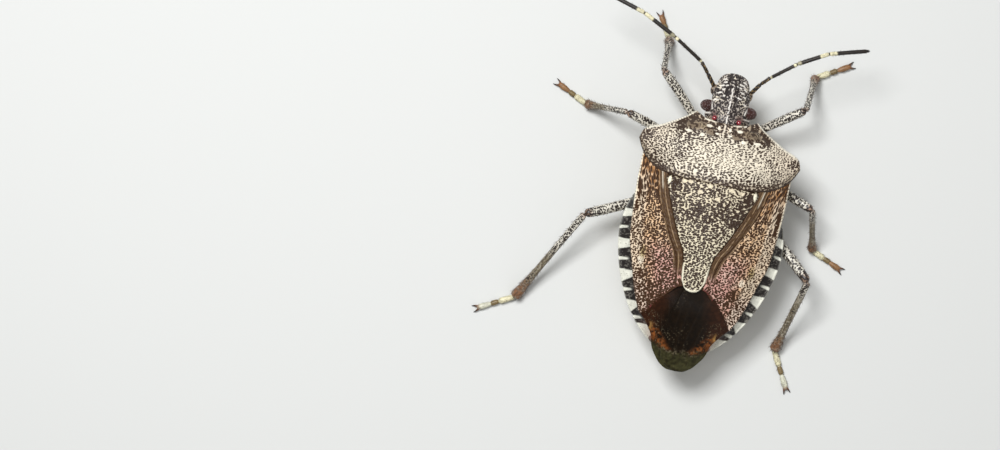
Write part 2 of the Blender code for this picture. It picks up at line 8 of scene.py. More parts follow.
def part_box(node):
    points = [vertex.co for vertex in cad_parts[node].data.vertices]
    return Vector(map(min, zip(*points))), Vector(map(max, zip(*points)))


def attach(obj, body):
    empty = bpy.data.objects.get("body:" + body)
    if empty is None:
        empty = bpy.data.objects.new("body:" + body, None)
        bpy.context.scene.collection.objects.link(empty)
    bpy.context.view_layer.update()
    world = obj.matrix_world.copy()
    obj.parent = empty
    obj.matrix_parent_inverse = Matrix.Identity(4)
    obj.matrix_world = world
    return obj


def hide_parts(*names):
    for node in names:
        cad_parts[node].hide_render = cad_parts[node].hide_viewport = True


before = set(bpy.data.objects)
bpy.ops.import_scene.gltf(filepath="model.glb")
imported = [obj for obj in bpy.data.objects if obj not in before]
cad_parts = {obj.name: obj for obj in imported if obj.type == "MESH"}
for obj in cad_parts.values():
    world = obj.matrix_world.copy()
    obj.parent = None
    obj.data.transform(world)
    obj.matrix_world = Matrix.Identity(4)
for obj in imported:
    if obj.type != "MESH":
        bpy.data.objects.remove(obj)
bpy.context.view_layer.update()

# Place of the bug
# The bug is modelled in millimetres along its own body: the tail tip is at x 0, y 0, and it faces
# +Y. Its eyes stand 13.21 mm in front of the tail tip, and the frame says where they are.
MM = 0.001
EYES_AHEAD_OF_TAIL = 13.21
eye_boxes = [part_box("eye_left"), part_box("eye_right")]
midline = (eye_boxes[0][0][0] + eye_boxes[1][1][0]) / 2
eye_line = (eye_boxes[0][0][1] + eye_boxes[0][1][1]) / 2
TAIL = np.array([midline, eye_line - EYES_AHEAD_OF_TAIL * MM, 0.0])


def placed(points):
    """Body millimetres as metres in the frame."""
    return np.asarray(points, dtype=float) * MM + TAIL


# Camera, floor and light
# A 100 mm lens looks straight down from 140 mm above a plain pale floor, and stands to the bug's
# left so that the bug is right of the middle. A soft lamp at the upper left draws the shadows.
CAMERA_PLACE = (-9.896, 5.335, 140.6)
CAMERA_TURN = math.radians(11.73)

camera_data = bpy.data.cameras.new("camera")
camera_data.sensor_width = 36.0
camera_data.lens = 100.0
camera_data.clip_start = 0.005
camera_data.clip_end = 10.0
camera = bpy.data.objects.new("camera", camera_data)
camera.location = placed(CAMERA_PLACE)
camera.rotation_euler = (0.0, 0.0, CAMERA_TURN)
bpy.context.scene.collection.objects.link(camera)
bpy.context.scene.camera = camera

FLOOR_HALF = 0.6
FLOOR_COLOUR = (0.62, 0.63, 0.62, 1)

floor_mesh = bpy.data.meshes.new("floor")
floor_mesh.from_pydata([(-FLOOR_HALF, -FLOOR_HALF, 0), (FLOOR_HALF, -FLOOR_HALF, 0),
                        (FLOOR_HALF, FLOOR_HALF, 0), (-FLOOR_HALF, FLOOR_HALF, 0)],
                       [], [(0, 1, 2, 3)])
floor = bpy.data.objects.new("floor", floor_mesh)
bpy.context.scene.collection.objects.link(floor)
floor_paper = bpy.data.materials.new("pale floor")
floor_paper.use_nodes = True
paper_shader = floor_paper.node_tree.nodes["Principled BSDF"]
paper_shader.inputs["Base Color"].default_value = FLOOR_COLOUR
paper_shader.inputs["Roughness"].default_value = 0.8
paper_shader.inputs["Specular IOR Level"].default_value = 0.2
floor_mesh.materials.append(floor_paper)

# Each lamp: where it stands, how wide it is and its power in watts.
LAMPS = {
    "key": ((-44, 44, 118), 40, 0.17),
    "fill": ((70, -30, 90), 120, 0.02),
    "overhead": ((-10, 10, 160), 80, 0.05),
}
LAMP_AIM = (0, 9, 3)
for lamp_name, (lamp_place, lamp_width, lamp_power) in LAMPS.items():
    lamp_data = bpy.data.lights.new(lamp_name, "AREA")
    lamp_data.size = lamp_width * MM
    lamp_data.energy = lamp_power
    lamp = bpy.data.objects.new(lamp_name, lamp_data)
    lamp.location = placed(lamp_place)
    towards = Vector(placed(LAMP_AIM)) - lamp.location
    lamp.rotation_euler = towards.to_track_quat("-Z", "Y").to_euler()
    bpy.context.scene.collection.objects.link(lamp)

world = bpy.data.worlds.new("studio")
world.use_nodes = True
world.node_tree.nodes["Background"].inputs["Color"].default_value = (1.0, 0.99, 0.97, 1)
world.node_tree.nodes["Background"].inputs["Strength"].default_value = 0.2
bpy.context.scene.world = world
bpy.context.scene.view_settings.view_transform = "Standard"

# Pronotum
# The wide shield behind the head is one plate of horny cuticle. It is cream and full of small
# dark punctures in wavy rows, with two smooth dark swellings and a beaded pale side margin.
BACK_CREST = [(0, 2.9), (2, 3.7), (4, 4.4), (6, 4.95), (8, 5.35), (9.4, 5.5), (10.5, 5.5),
              (11.5, 5.2), (12.4, 4.75)]
BACK_RIM = [(0, 2.75), (0.8, 2.95), (2.5, 3.35), (4, 3.5), (6.5, 3.75), (8, 3.85), (9.9, 3.95),
            (10.93, 4.35), (11.8, 4.25), (12.8, 4.0)]
BACK_HALF_WIDTH = [(0, 0.9), (0.8, 1.4), (1.7, 1.95), (2.5, 2.3), (3.6, 2.78), (4.3, 3.0),
                   (5, 3.2), (6, 3.5), (7, 3.6), (8, 3.68), (9.9, 3.72), (10.93, 4.05),
                   (11.4, 3.9), (11.6, 3.5), (12.1, 2.5), (12.8, 1.55)]
BACK_ROUNDNESS = 2.2
PRONOTUM_FRONT = [(0, 12.42), (0.9, 12.5), (1.3, 12.68), (1.55, 12.82)]
PRONOTUM_SIDE = [(1.55, 12.82), (2.0, 12.45), (3.0, 11.85), (3.88, 11.4), (4.04, 10.95)]
PRONOTUM_REAR = [(0, 9.36), (1.2, 9.36), (2.6, 9.54), (3.3, 9.91), (3.75, 10.38), (4.04, 10.95)]
PRONOTUM_LENGTH = 2.9
PRONOTUM_HALF_WIDTHS = (4.0, 2.2)
# Smooth pale spots on both sides: centre, then half their width and length.
PALE_SPOTS = ((0.76, 12.17, 0.14, 0.075), (1.02, 11.67, 0.12, 0.09), (1.7, 11.74, 0.16, 0.07),
              (1.15, 12.74, 0.2, 0.05), (0.28, 12.15, 0.06, 0.1), (0.32, 11.85, 0.09, 0.05))
BEAD_PITCH = 0.13
SIDE_MARGIN_LENGTH = 3.1
CREAM = (0.73, 0.66, 0.53)
TAN = (0.58, 0.42, 0.30)
PIGMENT = (0.038, 0.020, 0.011)
SKIRT = 0.3
SKIRT_ROWS = 5
# The back leans to the bug's left by this much for each millimetre above LEAN_LEVEL.
LEAN = 0.072
LEAN_LEVEL = 3.6


def curve(stations, at):
    """Read a smooth curve through (place, value) stations, level beyond its ends."""
    places, values = np.array(stations, dtype=float).T
    pitch = np.diff(values) / np.diff(places)
    slopes = np.zeros(len(places))
    slopes[0], slopes[-1] = pitch[0], pitch[-1]
    same_way = pitch[:-1] * pitch[1:] > 0
    total = np.where(same_way, pitch[:-1] + pitch[1:], 1.0)
    slopes[1:-1] = np.where(same_way, 2 * pitch[:-1] * pitch[1:] / total, 0.0)
    at = np.clip(at, places[0], places[-1])
    k = np.clip(np.searchsorted(places, at, side="right") - 1, 0, len(places) - 2)
    span = places[k + 1] - places[k]
    t = (at - places[k]) / span
    rise = (1 - t) ** 2 * (1 + 2 * t) * values[k] + t * t * (3 - 2 * t) * values[k + 1]
    return rise + span * t * (1 - t) * ((1 - t) * slopes[k] - t * slopes[k + 1])


def way_along(points):
    """How far along a line each of its points is."""
    steps = np.linalg.norm(np.diff(points, axis=0), axis=1)
    return np.concatenate([[0.0], np.cumsum(steps)])


def along(points, part):
    """Places that lie given parts of the way along a smooth curve through points."""
    points = np.array(points, dtype=float)
    marks = way_along(points)
    at = np.asarray(part) * marks[-1]
    return np.stack([curve(list(zip(marks, line)), at) for line in points.T], axis=-1)


def patch(rear, right, front, left, columns, rows):
    """Fill a four-sided outline with a grid, and give its places and its parts across and along."""
    u, v = np.meshgrid(np.linspace(0, 1, columns + 1), np.linspace(0, 1, rows + 1))
    ends = [along(line, (0.0, 1.0)) for line in (rear, front)]
    edges = ((1 - v)[..., None] * along(rear, u) + v[..., None] * along(front, u)
             + (1 - u)[..., None] * along(left, v) + u[..., None] * along(right, v))
    twist = (((1 - u) * (1 - v))[..., None] * ends[0][0] + (u * (1 - v))[..., None] * ends[0][1]
             + ((1 - u) * v)[..., None] * ends[1][0] + (u * v)[..., None] * ends[1][1])
    place = edges - twist
    return place[..., 0], place[..., 1], u, v


def back_height(x, y):
    """Height of the closed wings and pronotum over a place beside the midline."""
    crest, rim = curve(BACK_CREST, y), curve(BACK_RIM, y)
    across = np.minimum(1.0, np.abs(x) / curve(BACK_HALF_WIDTH, y))
    return rim + (crest - rim) * (1 - across ** BACK_ROUNDNESS)


def fade(low, high, value):
    """Rise smoothly from 0 at low to 1 at high, or fall where low is the greater."""
    t = np.clip((value - low) / (high - low), 0.0, 1.0)
    return t * t * (3 - 2 * t)


def spot(x, y, centre, radii, soft=0.4):
    """1 inside an ellipse and 0 outside it, with a soft edge."""
    reach = np.hypot((x - centre[0]) / radii[0], (y - centre[1]) / radii[1])
    return fade(1 + soft, 1 - soft, reach)


def scatter(column, row, seed):
    """A repeatable random number from 0 to 1 for each cell of a grid."""
    mixed = np.sin(column * 127.1 + row * 311.7 + seed * 74.7) * 43758.5453
    return mixed - np.floor(mixed)


def drift(x, y, size, seed):
    """Smooth random values from 0 to 1 in patches of about one size."""
    x, y = x / size, y / size
    column, row = np.floor(x), np.floor(y)
    s, t = fade(0, 1, x - column), fade(0, 1, y - row)
    near = scatter(column, row, seed) * (1 - s) + scatter(column + 1, row, seed) * s
    far = scatter(column, row + 1, seed) * (1 - s) + scatter(column + 1, row + 1, seed) * s
    return near * (1 - t) + far * t


def punctures(x, y, pitch, stretch, seed, sway=0.6, tilt=0.7, loose=0.6):
    """Distance to the nearest of many punctures in loose wavy rows, in pitches.

    Each is stretched across, and tilts by a random angle of up to half the tilt either way.
    """
    y = y + sway * pitch * (drift(x, y, pitch * 3.1, seed + 5) - 0.5) * 2
    x = x + sway * pitch * (drift(x, y, pitch * 2.7, seed + 9) - 0.5) * 2
    column, row = np.floor(x / (pitch * stretch)), np.floor(y / pitch)
    nearest = np.full(np.shape(x), 9.0)
    for beside in (-1, 0, 1):
        for ahead in (-1, 0, 1):
            c, r = column + beside, row + ahead
            px = (c + 0.5 + 0.8 * (scatter(c, r, seed) - 0.5)) * pitch * stretch
            py = (r + 0.5 + loose * (scatter(c, r, seed + 1) - 0.5)) * pitch
            angle = tilt * (scatter(c, r, seed + 2) - 0.5)
            away_x = (x - px) * np.cos(angle) + (y - py) * np.sin(angle)
            away_y = (y - py) * np.cos(angle) - (x - px) * np.sin(angle)
            nearest = np.minimum(nearest, np.hypot(away_x / stretch, away_y) / pitch)
    return nearest


def blend_colours(base, *layers):
    """Lay colours over a base colour, each through its own mask."""
    mixed = np.ones(np.shape(layers[0][1]) + (3,)) * np.array(base)
    for colour, mask in layers:
        mask = np.clip(mask, 0, 1)[..., None]
        mixed = mixed * (1 - mask) + np.array(colour) * mask
    return mixed


def leaning(points):
    """Shift the upper parts of the body a little to the bug's left."""
    points = np.array(points)
    points[..., 0] -= LEAN * np.maximum(points[..., 2] - LEAN_LEVEL, 0)
    return points


def make_piece(name, skin, finish):
    """Make a mesh object in the frame from a skin: body millimetres, faces and masks."""
    points, faces, masks = skin
    mesh = bpy.data.meshes.new(name)
    mesh.from_pydata(placed(points).tolist(), [], faces)
    for mask_name, values in masks.items():
        values = np.asarray(values, dtype=np.float32)
        if values.ndim == 2:
            layer = mesh.attributes.new(mask_name, "FLOAT_COLOR", "POINT")
            opaque = np.ones((len(values), 1), dtype=np.float32)
            layer.data.foreach_set("color", np.hstack([values, opaque]).ravel())
        else:
            layer = mesh.attributes.new(mask_name, "FLOAT", "POINT")
            layer.data.foreach_set("value", values)
    mesh.materials.append(finish)
    mesh.shade_smooth()
    mesh.update()
    piece = bpy.data.objects.new(name, mesh)
    bpy.context.scene.collection.objects.link(piece)
    return piece


def plate(name, x, y, z, finish, masks, skirt=SKIRT, flip=False):
    """Close a top surface with a pitted skirt round its edge and a shallow underside."""
    top = np.stack([x, y, z], axis=-1).reshape(-1, 3)
    cells = np.arange(len(top)).reshape(x.shape)
    loop = np.concatenate([cells[0], cells[1:, -1], cells[-1, -2::-1], cells[-2:0:-1, 0]])
    middle = top[cells[(x.shape[0] - 1) // 2, (x.shape[1] - 1) // 2]] - (0, 0, skirt + 0.15)
    inwards = (middle - top[loop]) * (1, 1, 0)
    inwards /= np.linalg.norm(inwards, axis=1)[:, None]
    row = np.arange(1, SKIRT_ROWS + 1)
    part = row[:, None, None] / SKIRT_ROWS
    skirts = top[loop] - skirt * part * (0, 0, 1) + 0.7 * skirt * part ** 2 * inwards
    points = np.vstack([top, skirts.reshape(-1, 3), middle])
    rings = np.vstack([loop, np.arange(len(top), len(points) - 1).reshape(SKIRT_ROWS, -1)])
    after = np.roll(rings, -1, axis=1)
    hub = np.full(len(loop), len(points) - 1)
    faces = np.stack([cells[:-1, :-1], cells[:-1, 1:], cells[1:, 1:], cells[1:, :-1]],
                     axis=-1).reshape(-1, 4).tolist()
    faces += np.stack([rings[:-1], rings[1:], after[1:], after[:-1]],
                      axis=-1).reshape(-1, 4).tolist()
    faces += np.stack([rings[-1], hub, after[-1]], axis=-1).tolist()
    way, drop = np.meshgrid(way_along(top[loop]), skirt * row / SKIRT_ROWS)
    skirt_pits = 0.85 * fade(0.52, 0.24, punctures(way, drop, 0.10, 1.2, 5)).ravel()
    full = {}
    for key, values in masks.items():
        values = np.asarray(values).reshape(len(top), *np.shape(values)[2:])
        edge = skirt_pits if key == "pit" else np.concatenate([values[loop]] * SKIRT_ROWS)
        full[key] = np.concatenate([values, edge, values[:1]])
    if flip:
        points[:, 0] *= -1
        faces = [face[::-1] for face in faces]
    return make_piece(name, (leaning(points), faces, full), finish)


def feed(node, inputs):
    """Set a node's inputs, or link them to a socket or to the first output of another node."""
    for socket, value in inputs.items():
        if isinstance(value, bpy.types.Node):
            value = value.outputs[0]
        if isinstance(value, bpy.types.NodeSocket):
            node.id_data.links.new(value, node.inputs[socket])
        else:
            node.inputs[socket].default_value = value


def put(tree, kind, inputs=None, **options):
    """Add a node, set its options and feed its inputs."""
    made = tree.nodes.new(kind)
    for option, value in options.items():
        setattr(made, option, value)
    feed(made, inputs or {})
    return made


def add(tree, kind, inputs=None, **options):
    """Add a shader node."""
    return put(tree, "ShaderNode" + kind, inputs, **options)


def noise(tree, where, scale, detail):
    """Add soft noise of one scale."""
    return add(tree, "TexNoise", {"Vector": where, "Scale": scale, "Detail": detail})


def remap(tree, value, low, high, to_low=0.0, to_high=1.0, **options):
    """Turn the range from low to high into another range."""
    return add(tree, "MapRange", {"Value": value, "From Min": low, "From Max": high,
                                  "To Min": to_low, "To Max": to_high}, **options)


def new_finish(name, **settings):
    """A material with its Principled shader, which takes the settings that are constant."""
    made = bpy.data.materials.new(name)
    made.use_nodes = True
    tree = made.node_tree
    shader = tree.nodes["Principled BSDF"]
    feed(shader, {socket.replace("_", " "): value for socket, value in settings.items()})
    return made, tree, shader, add(tree, "TexCoord").outputs["Object"]


def cuticle(name, pigment, rough=0.42, speck=0.16, shine=0.45, dots=False):
    """Horny cuticle: a ground colour and dark punctures from the mesh, and fine grain over both.

    With dots, the mesh only says how strong a scatter of fine dark dots is.
    """
    made, tree, shader, where = new_finish(name, Specular_IOR_Level=shine, IOR=1.5)
    ground = add(tree, "Attribute", attribute_name="ground")
    pit = add(tree, "Attribute", attribute_name="pit").outputs["Fac"]
    if dots:
        dot = add(tree, "TexVoronoi", {"Vector": where, "Scale": 8200.0})
        pit = add(tree, "Math", {0: remap(tree, dot, 0.36, 0.16), 1: pit}, operation="MULTIPLY")
    cloud = noise(tree, where, 4200.0, 4.0)
    grain = noise(tree, where, 26000.0, 3.0)
    cells = add(tree, "TexVoronoi", {"Vector": where, "Scale": 34000.0})
    lift = remap(tree, cloud, 0.3, 0.7, 1 - speck, 1 + speck)
    tinted = add(tree, "VectorMath", {0: ground, 1: lift}, operation="MULTIPLY")
    ragged = add(tree, "Math", {0: grain, 1: 0.5, 2: pit}, operation="MULTIPLY_ADD")
    shade = remap(tree, ragged, 0.5, 1.0, interpolation_type="SMOOTHSTEP")
    colour = add(tree, "MixRGB", {"Fac": shade, "Color1": tinted, "Color2": (*pigment, 1)})
    relief = add(tree, "Math", {0: cells, 1: 0.6, 2: grain}, operation="MULTIPLY_ADD")
    bump = add(tree, "Bump", {"Height": relief, "Strength": 0.5, "Distance": 6e-6})
    feed(shader, {"Base Color": colour, "Normal": bump,
                  "Roughness": remap(tree, grain, 0.3, 0.7, rough - 0.07, rough + 0.12)})
    return made


def pitted(near, crowd, soft=0.12, reach=(0.16, 0.80)):
    """Dark where the nearest puncture is within reach, which grows as the punctures crowd."""
    reach = np.interp(crowd, (0, 1), reach)
    return fade(reach + soft, reach - soft, near)


def fit(piece, nodes):
    """Let a finished piece stand for its nodes of the frame and ride on it."""
    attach(piece, "root")
    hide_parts(*nodes)


def both_sides(points):
    """Left to right along a line that is given from the midline outwards."""
    return [(-x, y) for x, y in reversed(points[1:])] + list(points)


def on_left(points):
    """The same points on the bug's left side."""
    return [(-x, y) for x, y in points]


def roll_off(inside, width, drop):
    """Round a plate's edge down over a width."""
    t = np.clip(1 - inside / width, 0, 1)
    return drop * (1 - np.sqrt(np.maximum(0, 1 - t * t)))


back_cuticle = cuticle("punctured cuticle", PIGMENT)

x, y, u, v = patch(both_sides(PRONOTUM_REAR), PRONOTUM_SIDE[::-1], both_sides(PRONOTUM_FRONT),
                   on_left(PRONOTUM_SIDE[::-1]), 400, 170)
aside = np.abs(x)
side_gap = np.minimum(u, 1 - u) * 2 * np.interp(v, (0, 1), PRONOTUM_HALF_WIDTHS)
rear_gap = v * PRONOTUM_LENGTH
front_gap = (1 - v) * PRONOTUM_LENGTH
sideways = fade(1.6, 2.6, aside)
near = punctures(x, rear_gap, 0.080, 2.1, 3, 0.7, 0.6, 0.5) * (1 - sideways)
near += punctures(x, y, 0.077, 1.4, 7, 0.8, 1.0) * sideways
# How closely the punctures crowd, from place to place.
crowd = 0.39 + 0.22 * (drift(x, y, 0.5, 11) - 0.5)
crowd += 0.10 * fade(9.9, 9.5, y) + 0.30 * fade(11.5, 11.85, y) * fade(2.7, 2.1, aside)
crowd += 0.16 * sideways * (drift(x, y, 0.22, 23) - 0.4) - 0.06 * fade(1.0, 2.5, x)
crowd += 0.26 * fade(0.7, 0.2, rear_gap) * fade(1.6, 3.0, aside) * fade(10.4, 9.9, y)
crowd -= 0.10 * spot(x, y, (0.3, 10.6), (1.7, 0.8), 0.9)
crowd -= 0.14 * spot(x, y, (0.0, 12.05), (0.3, 0.4), 0.5)
crowd += 0.30 * spot(aside, y, (3.72, 11.2), (0.26, 0.26), 0.8)
crowd -= 0.14 * fade(12.25, 12.45, y) * fade(0.9, 1.3, aside)
crowd = np.minimum(crowd, 0.65 + 0.14 * (drift(x, y, 0.12, 19) - 0.5))
# The smooth swellings with their pale loops, then the other pale marks and the beads.
calli = spot(aside, y, (1.25, 12.07), (0.62, 0.24), 0.35)
calli = np.maximum(calli, spot(aside, y, (0.66, 11.85), (0.22, 0.16), 0.4))
calli = fade(0.25, 0.75, calli + 0.7 * (drift(x, y, 0.14, 17) - 0.5))
dusky = spot(aside, y, (1.45, 12.2), (0.95, 0.42), 0.6)
ring = np.hypot((aside - 1.36) / 0.42, (y - 12.08) / 0.2) + 0.5 * (drift(x, y, 0.13, 16) - 0.5)
loops = calli * fade(0.13, 0.04, np.abs(ring - 0.75)) * fade(0.25, 0.5, drift(x, y, 0.15, 20))
median = fade(0.06, 0.03, aside) * fade(11.5, 12.1, y) * fade(0.3, 0.5, drift(x, y, 0.09, 15))
pale_spots = sum(spot(aside, y, mark[:2], mark[2:], 0.35) for mark in PALE_SPOTS)
collar = fade(0.09, 0.04, front_gap) * fade(0.3, 0.45, aside) * fade(1.15, 1.0, aside)
collar *= 0.5 + 0.5 * fade(0.3, 0.6, drift(x, y, 0.12, 24))
pale_spots = np.maximum(pale_spots, collar)
beads = fade(0.12, 0.07, side_gap) * fade(0.10, 0.28, v)
bead_wave = 0.5 + 0.5 * np.cos(v * SIDE_MARGIN_LENGTH / BEAD_PITCH * 2 * math.pi)
# Dark punctures, and the ground colour and the relief under them.
pit = pitted(near, crowd)
mottle = 0.6 * drift(x, y, 0.07, 13) + 0.4 * drift(x, y, 0.16, 14)
pit = np.clip(pit * (1 - calli) + 0.85 * calli * fade(0.42, 0.6, mottle), 0, 1)
pit *= 1 - 0.7 * loops
pit = np.clip(pit * (1 - 0.85 * median) - pale_spots - beads * (0.4 + 0.9 * bead_wave), 0, 1)
# The dark band at the rear edge is partly a dark edge line and partly painted shade where the edge
# overhangs the scutellum; a thinner dark line runs just in front of it.
pit = np.maximum(pit, 0.95 * fade(0.07, 0.04, rear_gap))
pit = np.maximum(pit, 0.6 * fade(0.03, 0.015, np.abs(rear_gap - 0.15)))
ground = blend_colours(CREAM, (TAN, 0.30 * fade(1.8, 3.9, aside)),
                       (TAN, 0.5 * fade(11.6, 12.4, y) * fade(2.8, 2.2, aside)),
                       ((0.27, 0.21, 0.14), 0.75 * dusky),
                       ((0.33, 0.26, 0.17), 0.6 * fade(0.3, 0.1, rear_gap)),
                       ((0.17, 0.125, 0.082), calli * 0.95), ((0.34, 0.27, 0.18), 0.8 * loops),
                       ((0.80, 0.75, 0.63), np.clip(pale_spots + beads + 0.6 * median, 0, 1)))
z = back_height(x, y) + 0.11 * np.exp(-((aside - 1.2) / 0.55) ** 2 - ((y - 12.05) / 0.3) ** 2)
z += 0.05 + 0.07 * fade(0.35, 0.1, side_gap) * fade(0.0, 0.5, v) + 0.02 * loops
z += 0.035 * (drift(x, y, 0.9, 21) - 0.5) + 0.02 * beads * bead_wave
z -= 0.026 * fade(0.55, 0.15, near) * (1 - calli) * (1 - beads)
z -= (roll_off(side_gap, 0.12, 0.09) + roll_off(rear_gap, 0.1, 0.07)
      + roll_off(front_gap, 0.1, 0.08))
pronotum = plate("pronotum_shield", x, y, z, back_cuticle, {"ground": ground, "pit": pit})
fit(pronotum, ["pronotum"])

# Scutellum
# The long triangular plate between the wings ends in a rounded pale tip. It is the same cuticle as
# the pronotum, under whose rear edge it tucks, with dark clouds and a smooth pale callus in each
# front corner.
SCUTELLUM_SIDE = [(2.36, 9.5), (2.0, 8.5), (1.6, 7.5), (1.12, 6.5), (0.85, 6.0), (0.7, 5.5),
                  (0.64, 4.9), (0.6, 4.6), (0.42, 4.2)]
SCUTELLUM_TIP = [(0, 4.0), (0.25, 4.05), (0.42, 4.2)]
SCUTELLUM_LENGTH = 5.6
SCUTELLUM_SPOTS = ((-1.4, 9.27), (-1.1, 9.3), (-0.12, 9.25), (0.95, 9.25), (-0.55, 8.9),
                   (0.35, 8.7), (1.45, 9.2))
TUCK = 0.22

scutellum_base = [(0, 9.4 + TUCK), (1.2, 9.4 + TUCK), (2.36, 9.5 + TUCK)]
scutellum_side = [(2.36, 9.5 + TUCK)] + SCUTELLUM_SIDE
x, y, u, v = patch(both_sides(SCUTELLUM_TIP), scutellum_side[::-1], both_sides(scutellum_base),
                   on_left(scutellum_side[::-1]), 230, 300)
half = np.interp(y, *zip(*[(place[1], place[0]) for place in SCUTELLUM_SIDE[::-1]]))
side_gap = np.minimum(u, 1 - u) * 2 * half
tip_gap = v * SCUTELLUM_LENGTH
aside = np.abs(x)
near = punctures(x, y, 0.079, 1.8, 31)
cloud = 0.5 * spot(x, y, (0.0, 7.9), (1.2, 0.4), 0.8)
cloud += 0.45 * spot(aside, y, (1.7, 8.7), (0.45, 0.7), 0.8)
blotch = drift(x, y, 0.16, 41) * 0.5 + drift(x, y, 0.45, 43) * 0.5
crowd = 0.46 + (0.22 + 0.42 * fade(6.6, 7.6, y)) * (blotch - 0.5) + 0.3 * cloud
crowd += 0.05 * fade(6.6, 7.6, y)
calli = spot(aside, y, (2.13, 9.2), (0.085, 0.19), 0.3)
foveae = spot(aside, y, (1.87, 9.0), (0.13, 0.34), 0.5)
base_spots = sum(spot(x, y, centre, (0.14, 0.1), 0.4) for centre in SCUTELLUM_SPOTS)
tip_rim = fade(0.16, 0.07, np.minimum(side_gap, tip_gap)) * fade(5.6, 4.9, y)
pit = pitted(near, crowd, 0.13, (0.14, 0.85))
pit = np.clip(np.maximum(pit, foveae) - calli - 0.8 * base_spots - tip_rim, 0, 1)
pit = np.maximum(pit, 0.8 * fade(0.05, 0.02, side_gap) * (1 - tip_rim))
ground = blend_colours((0.70, 0.63, 0.46), (TAN, 0.15 * fade(6.0, 8.5, y)),
                       ((0.80, 0.76, 0.60), tip_rim + calli))
z = back_height(x, y) + 0.12 * (1 - (2 * u - 1) ** 2) + 0.02 + 0.04 * tip_rim
z += 0.05 * (drift(x, y, 0.7, 51) - 0.5) - 0.05 * foveae + 0.05 * calli
z -= 0.028 * fade(0.55, 0.15, near) * (1 - tip_rim)
z -= roll_off(side_gap, 0.1, 0.08) + roll_off(tip_gap, 0.12, 0.1) + 0.22 * fade(9.3, 9.5, y)
scutellum = plate("scutellum_shield", x, y, z, back_cuticle, {"ground": ground, "pit": pit})
fit(scutellum, ["scutellum"])

# Corium of each wing
# The leathery front part of the fore wing runs from the pronotum to the suture of the membrane.
# It is red-brown with finer punctures than the shield, has a furrow along the scutellum, two low
# veins, and a pale beaded outer edge.
WING_SIDE = [(3.72, 10.36), (3.72, 9.2), (3.68, 8), (3.6, 7), (3.5, 6), (3.2, 5), (3.0, 4.3),
             (2.78, 3.6), (2.45, 2.8), (2.25, 2.45)]
WING_SUTURE = [(0.42, 4.2), (0.66, 4.14), (1.02, 3.8), (1.45, 3.32), (1.9, 2.7), (2.25, 2.45)]
RUST = (0.36, 0.18, 0.07)
ROSE = (0.68, 0.45, 0.26)
MAUVE = (0.60, 0.33, 0.28)
WINE = (0.12, 0.025, 0.025)
WING_LENGTH = 7.0
WING_BEAD_PITCH = 0.14
BROWN_BLACK = (0.085, 0.046, 0.020)
# Each wing: its seed, how much closer than usual its punctures crowd, all over and near the rear
# end, and the places of its pale spot and its dark one.
WING_SIDES = {
    "left": (61, 0.0, 0.14, (2.75, 5.1), (2.6, 4.4)),
    "right": (83, -0.07, 0.08, (2.35, 4.9), (2.0, 4.3)),
}

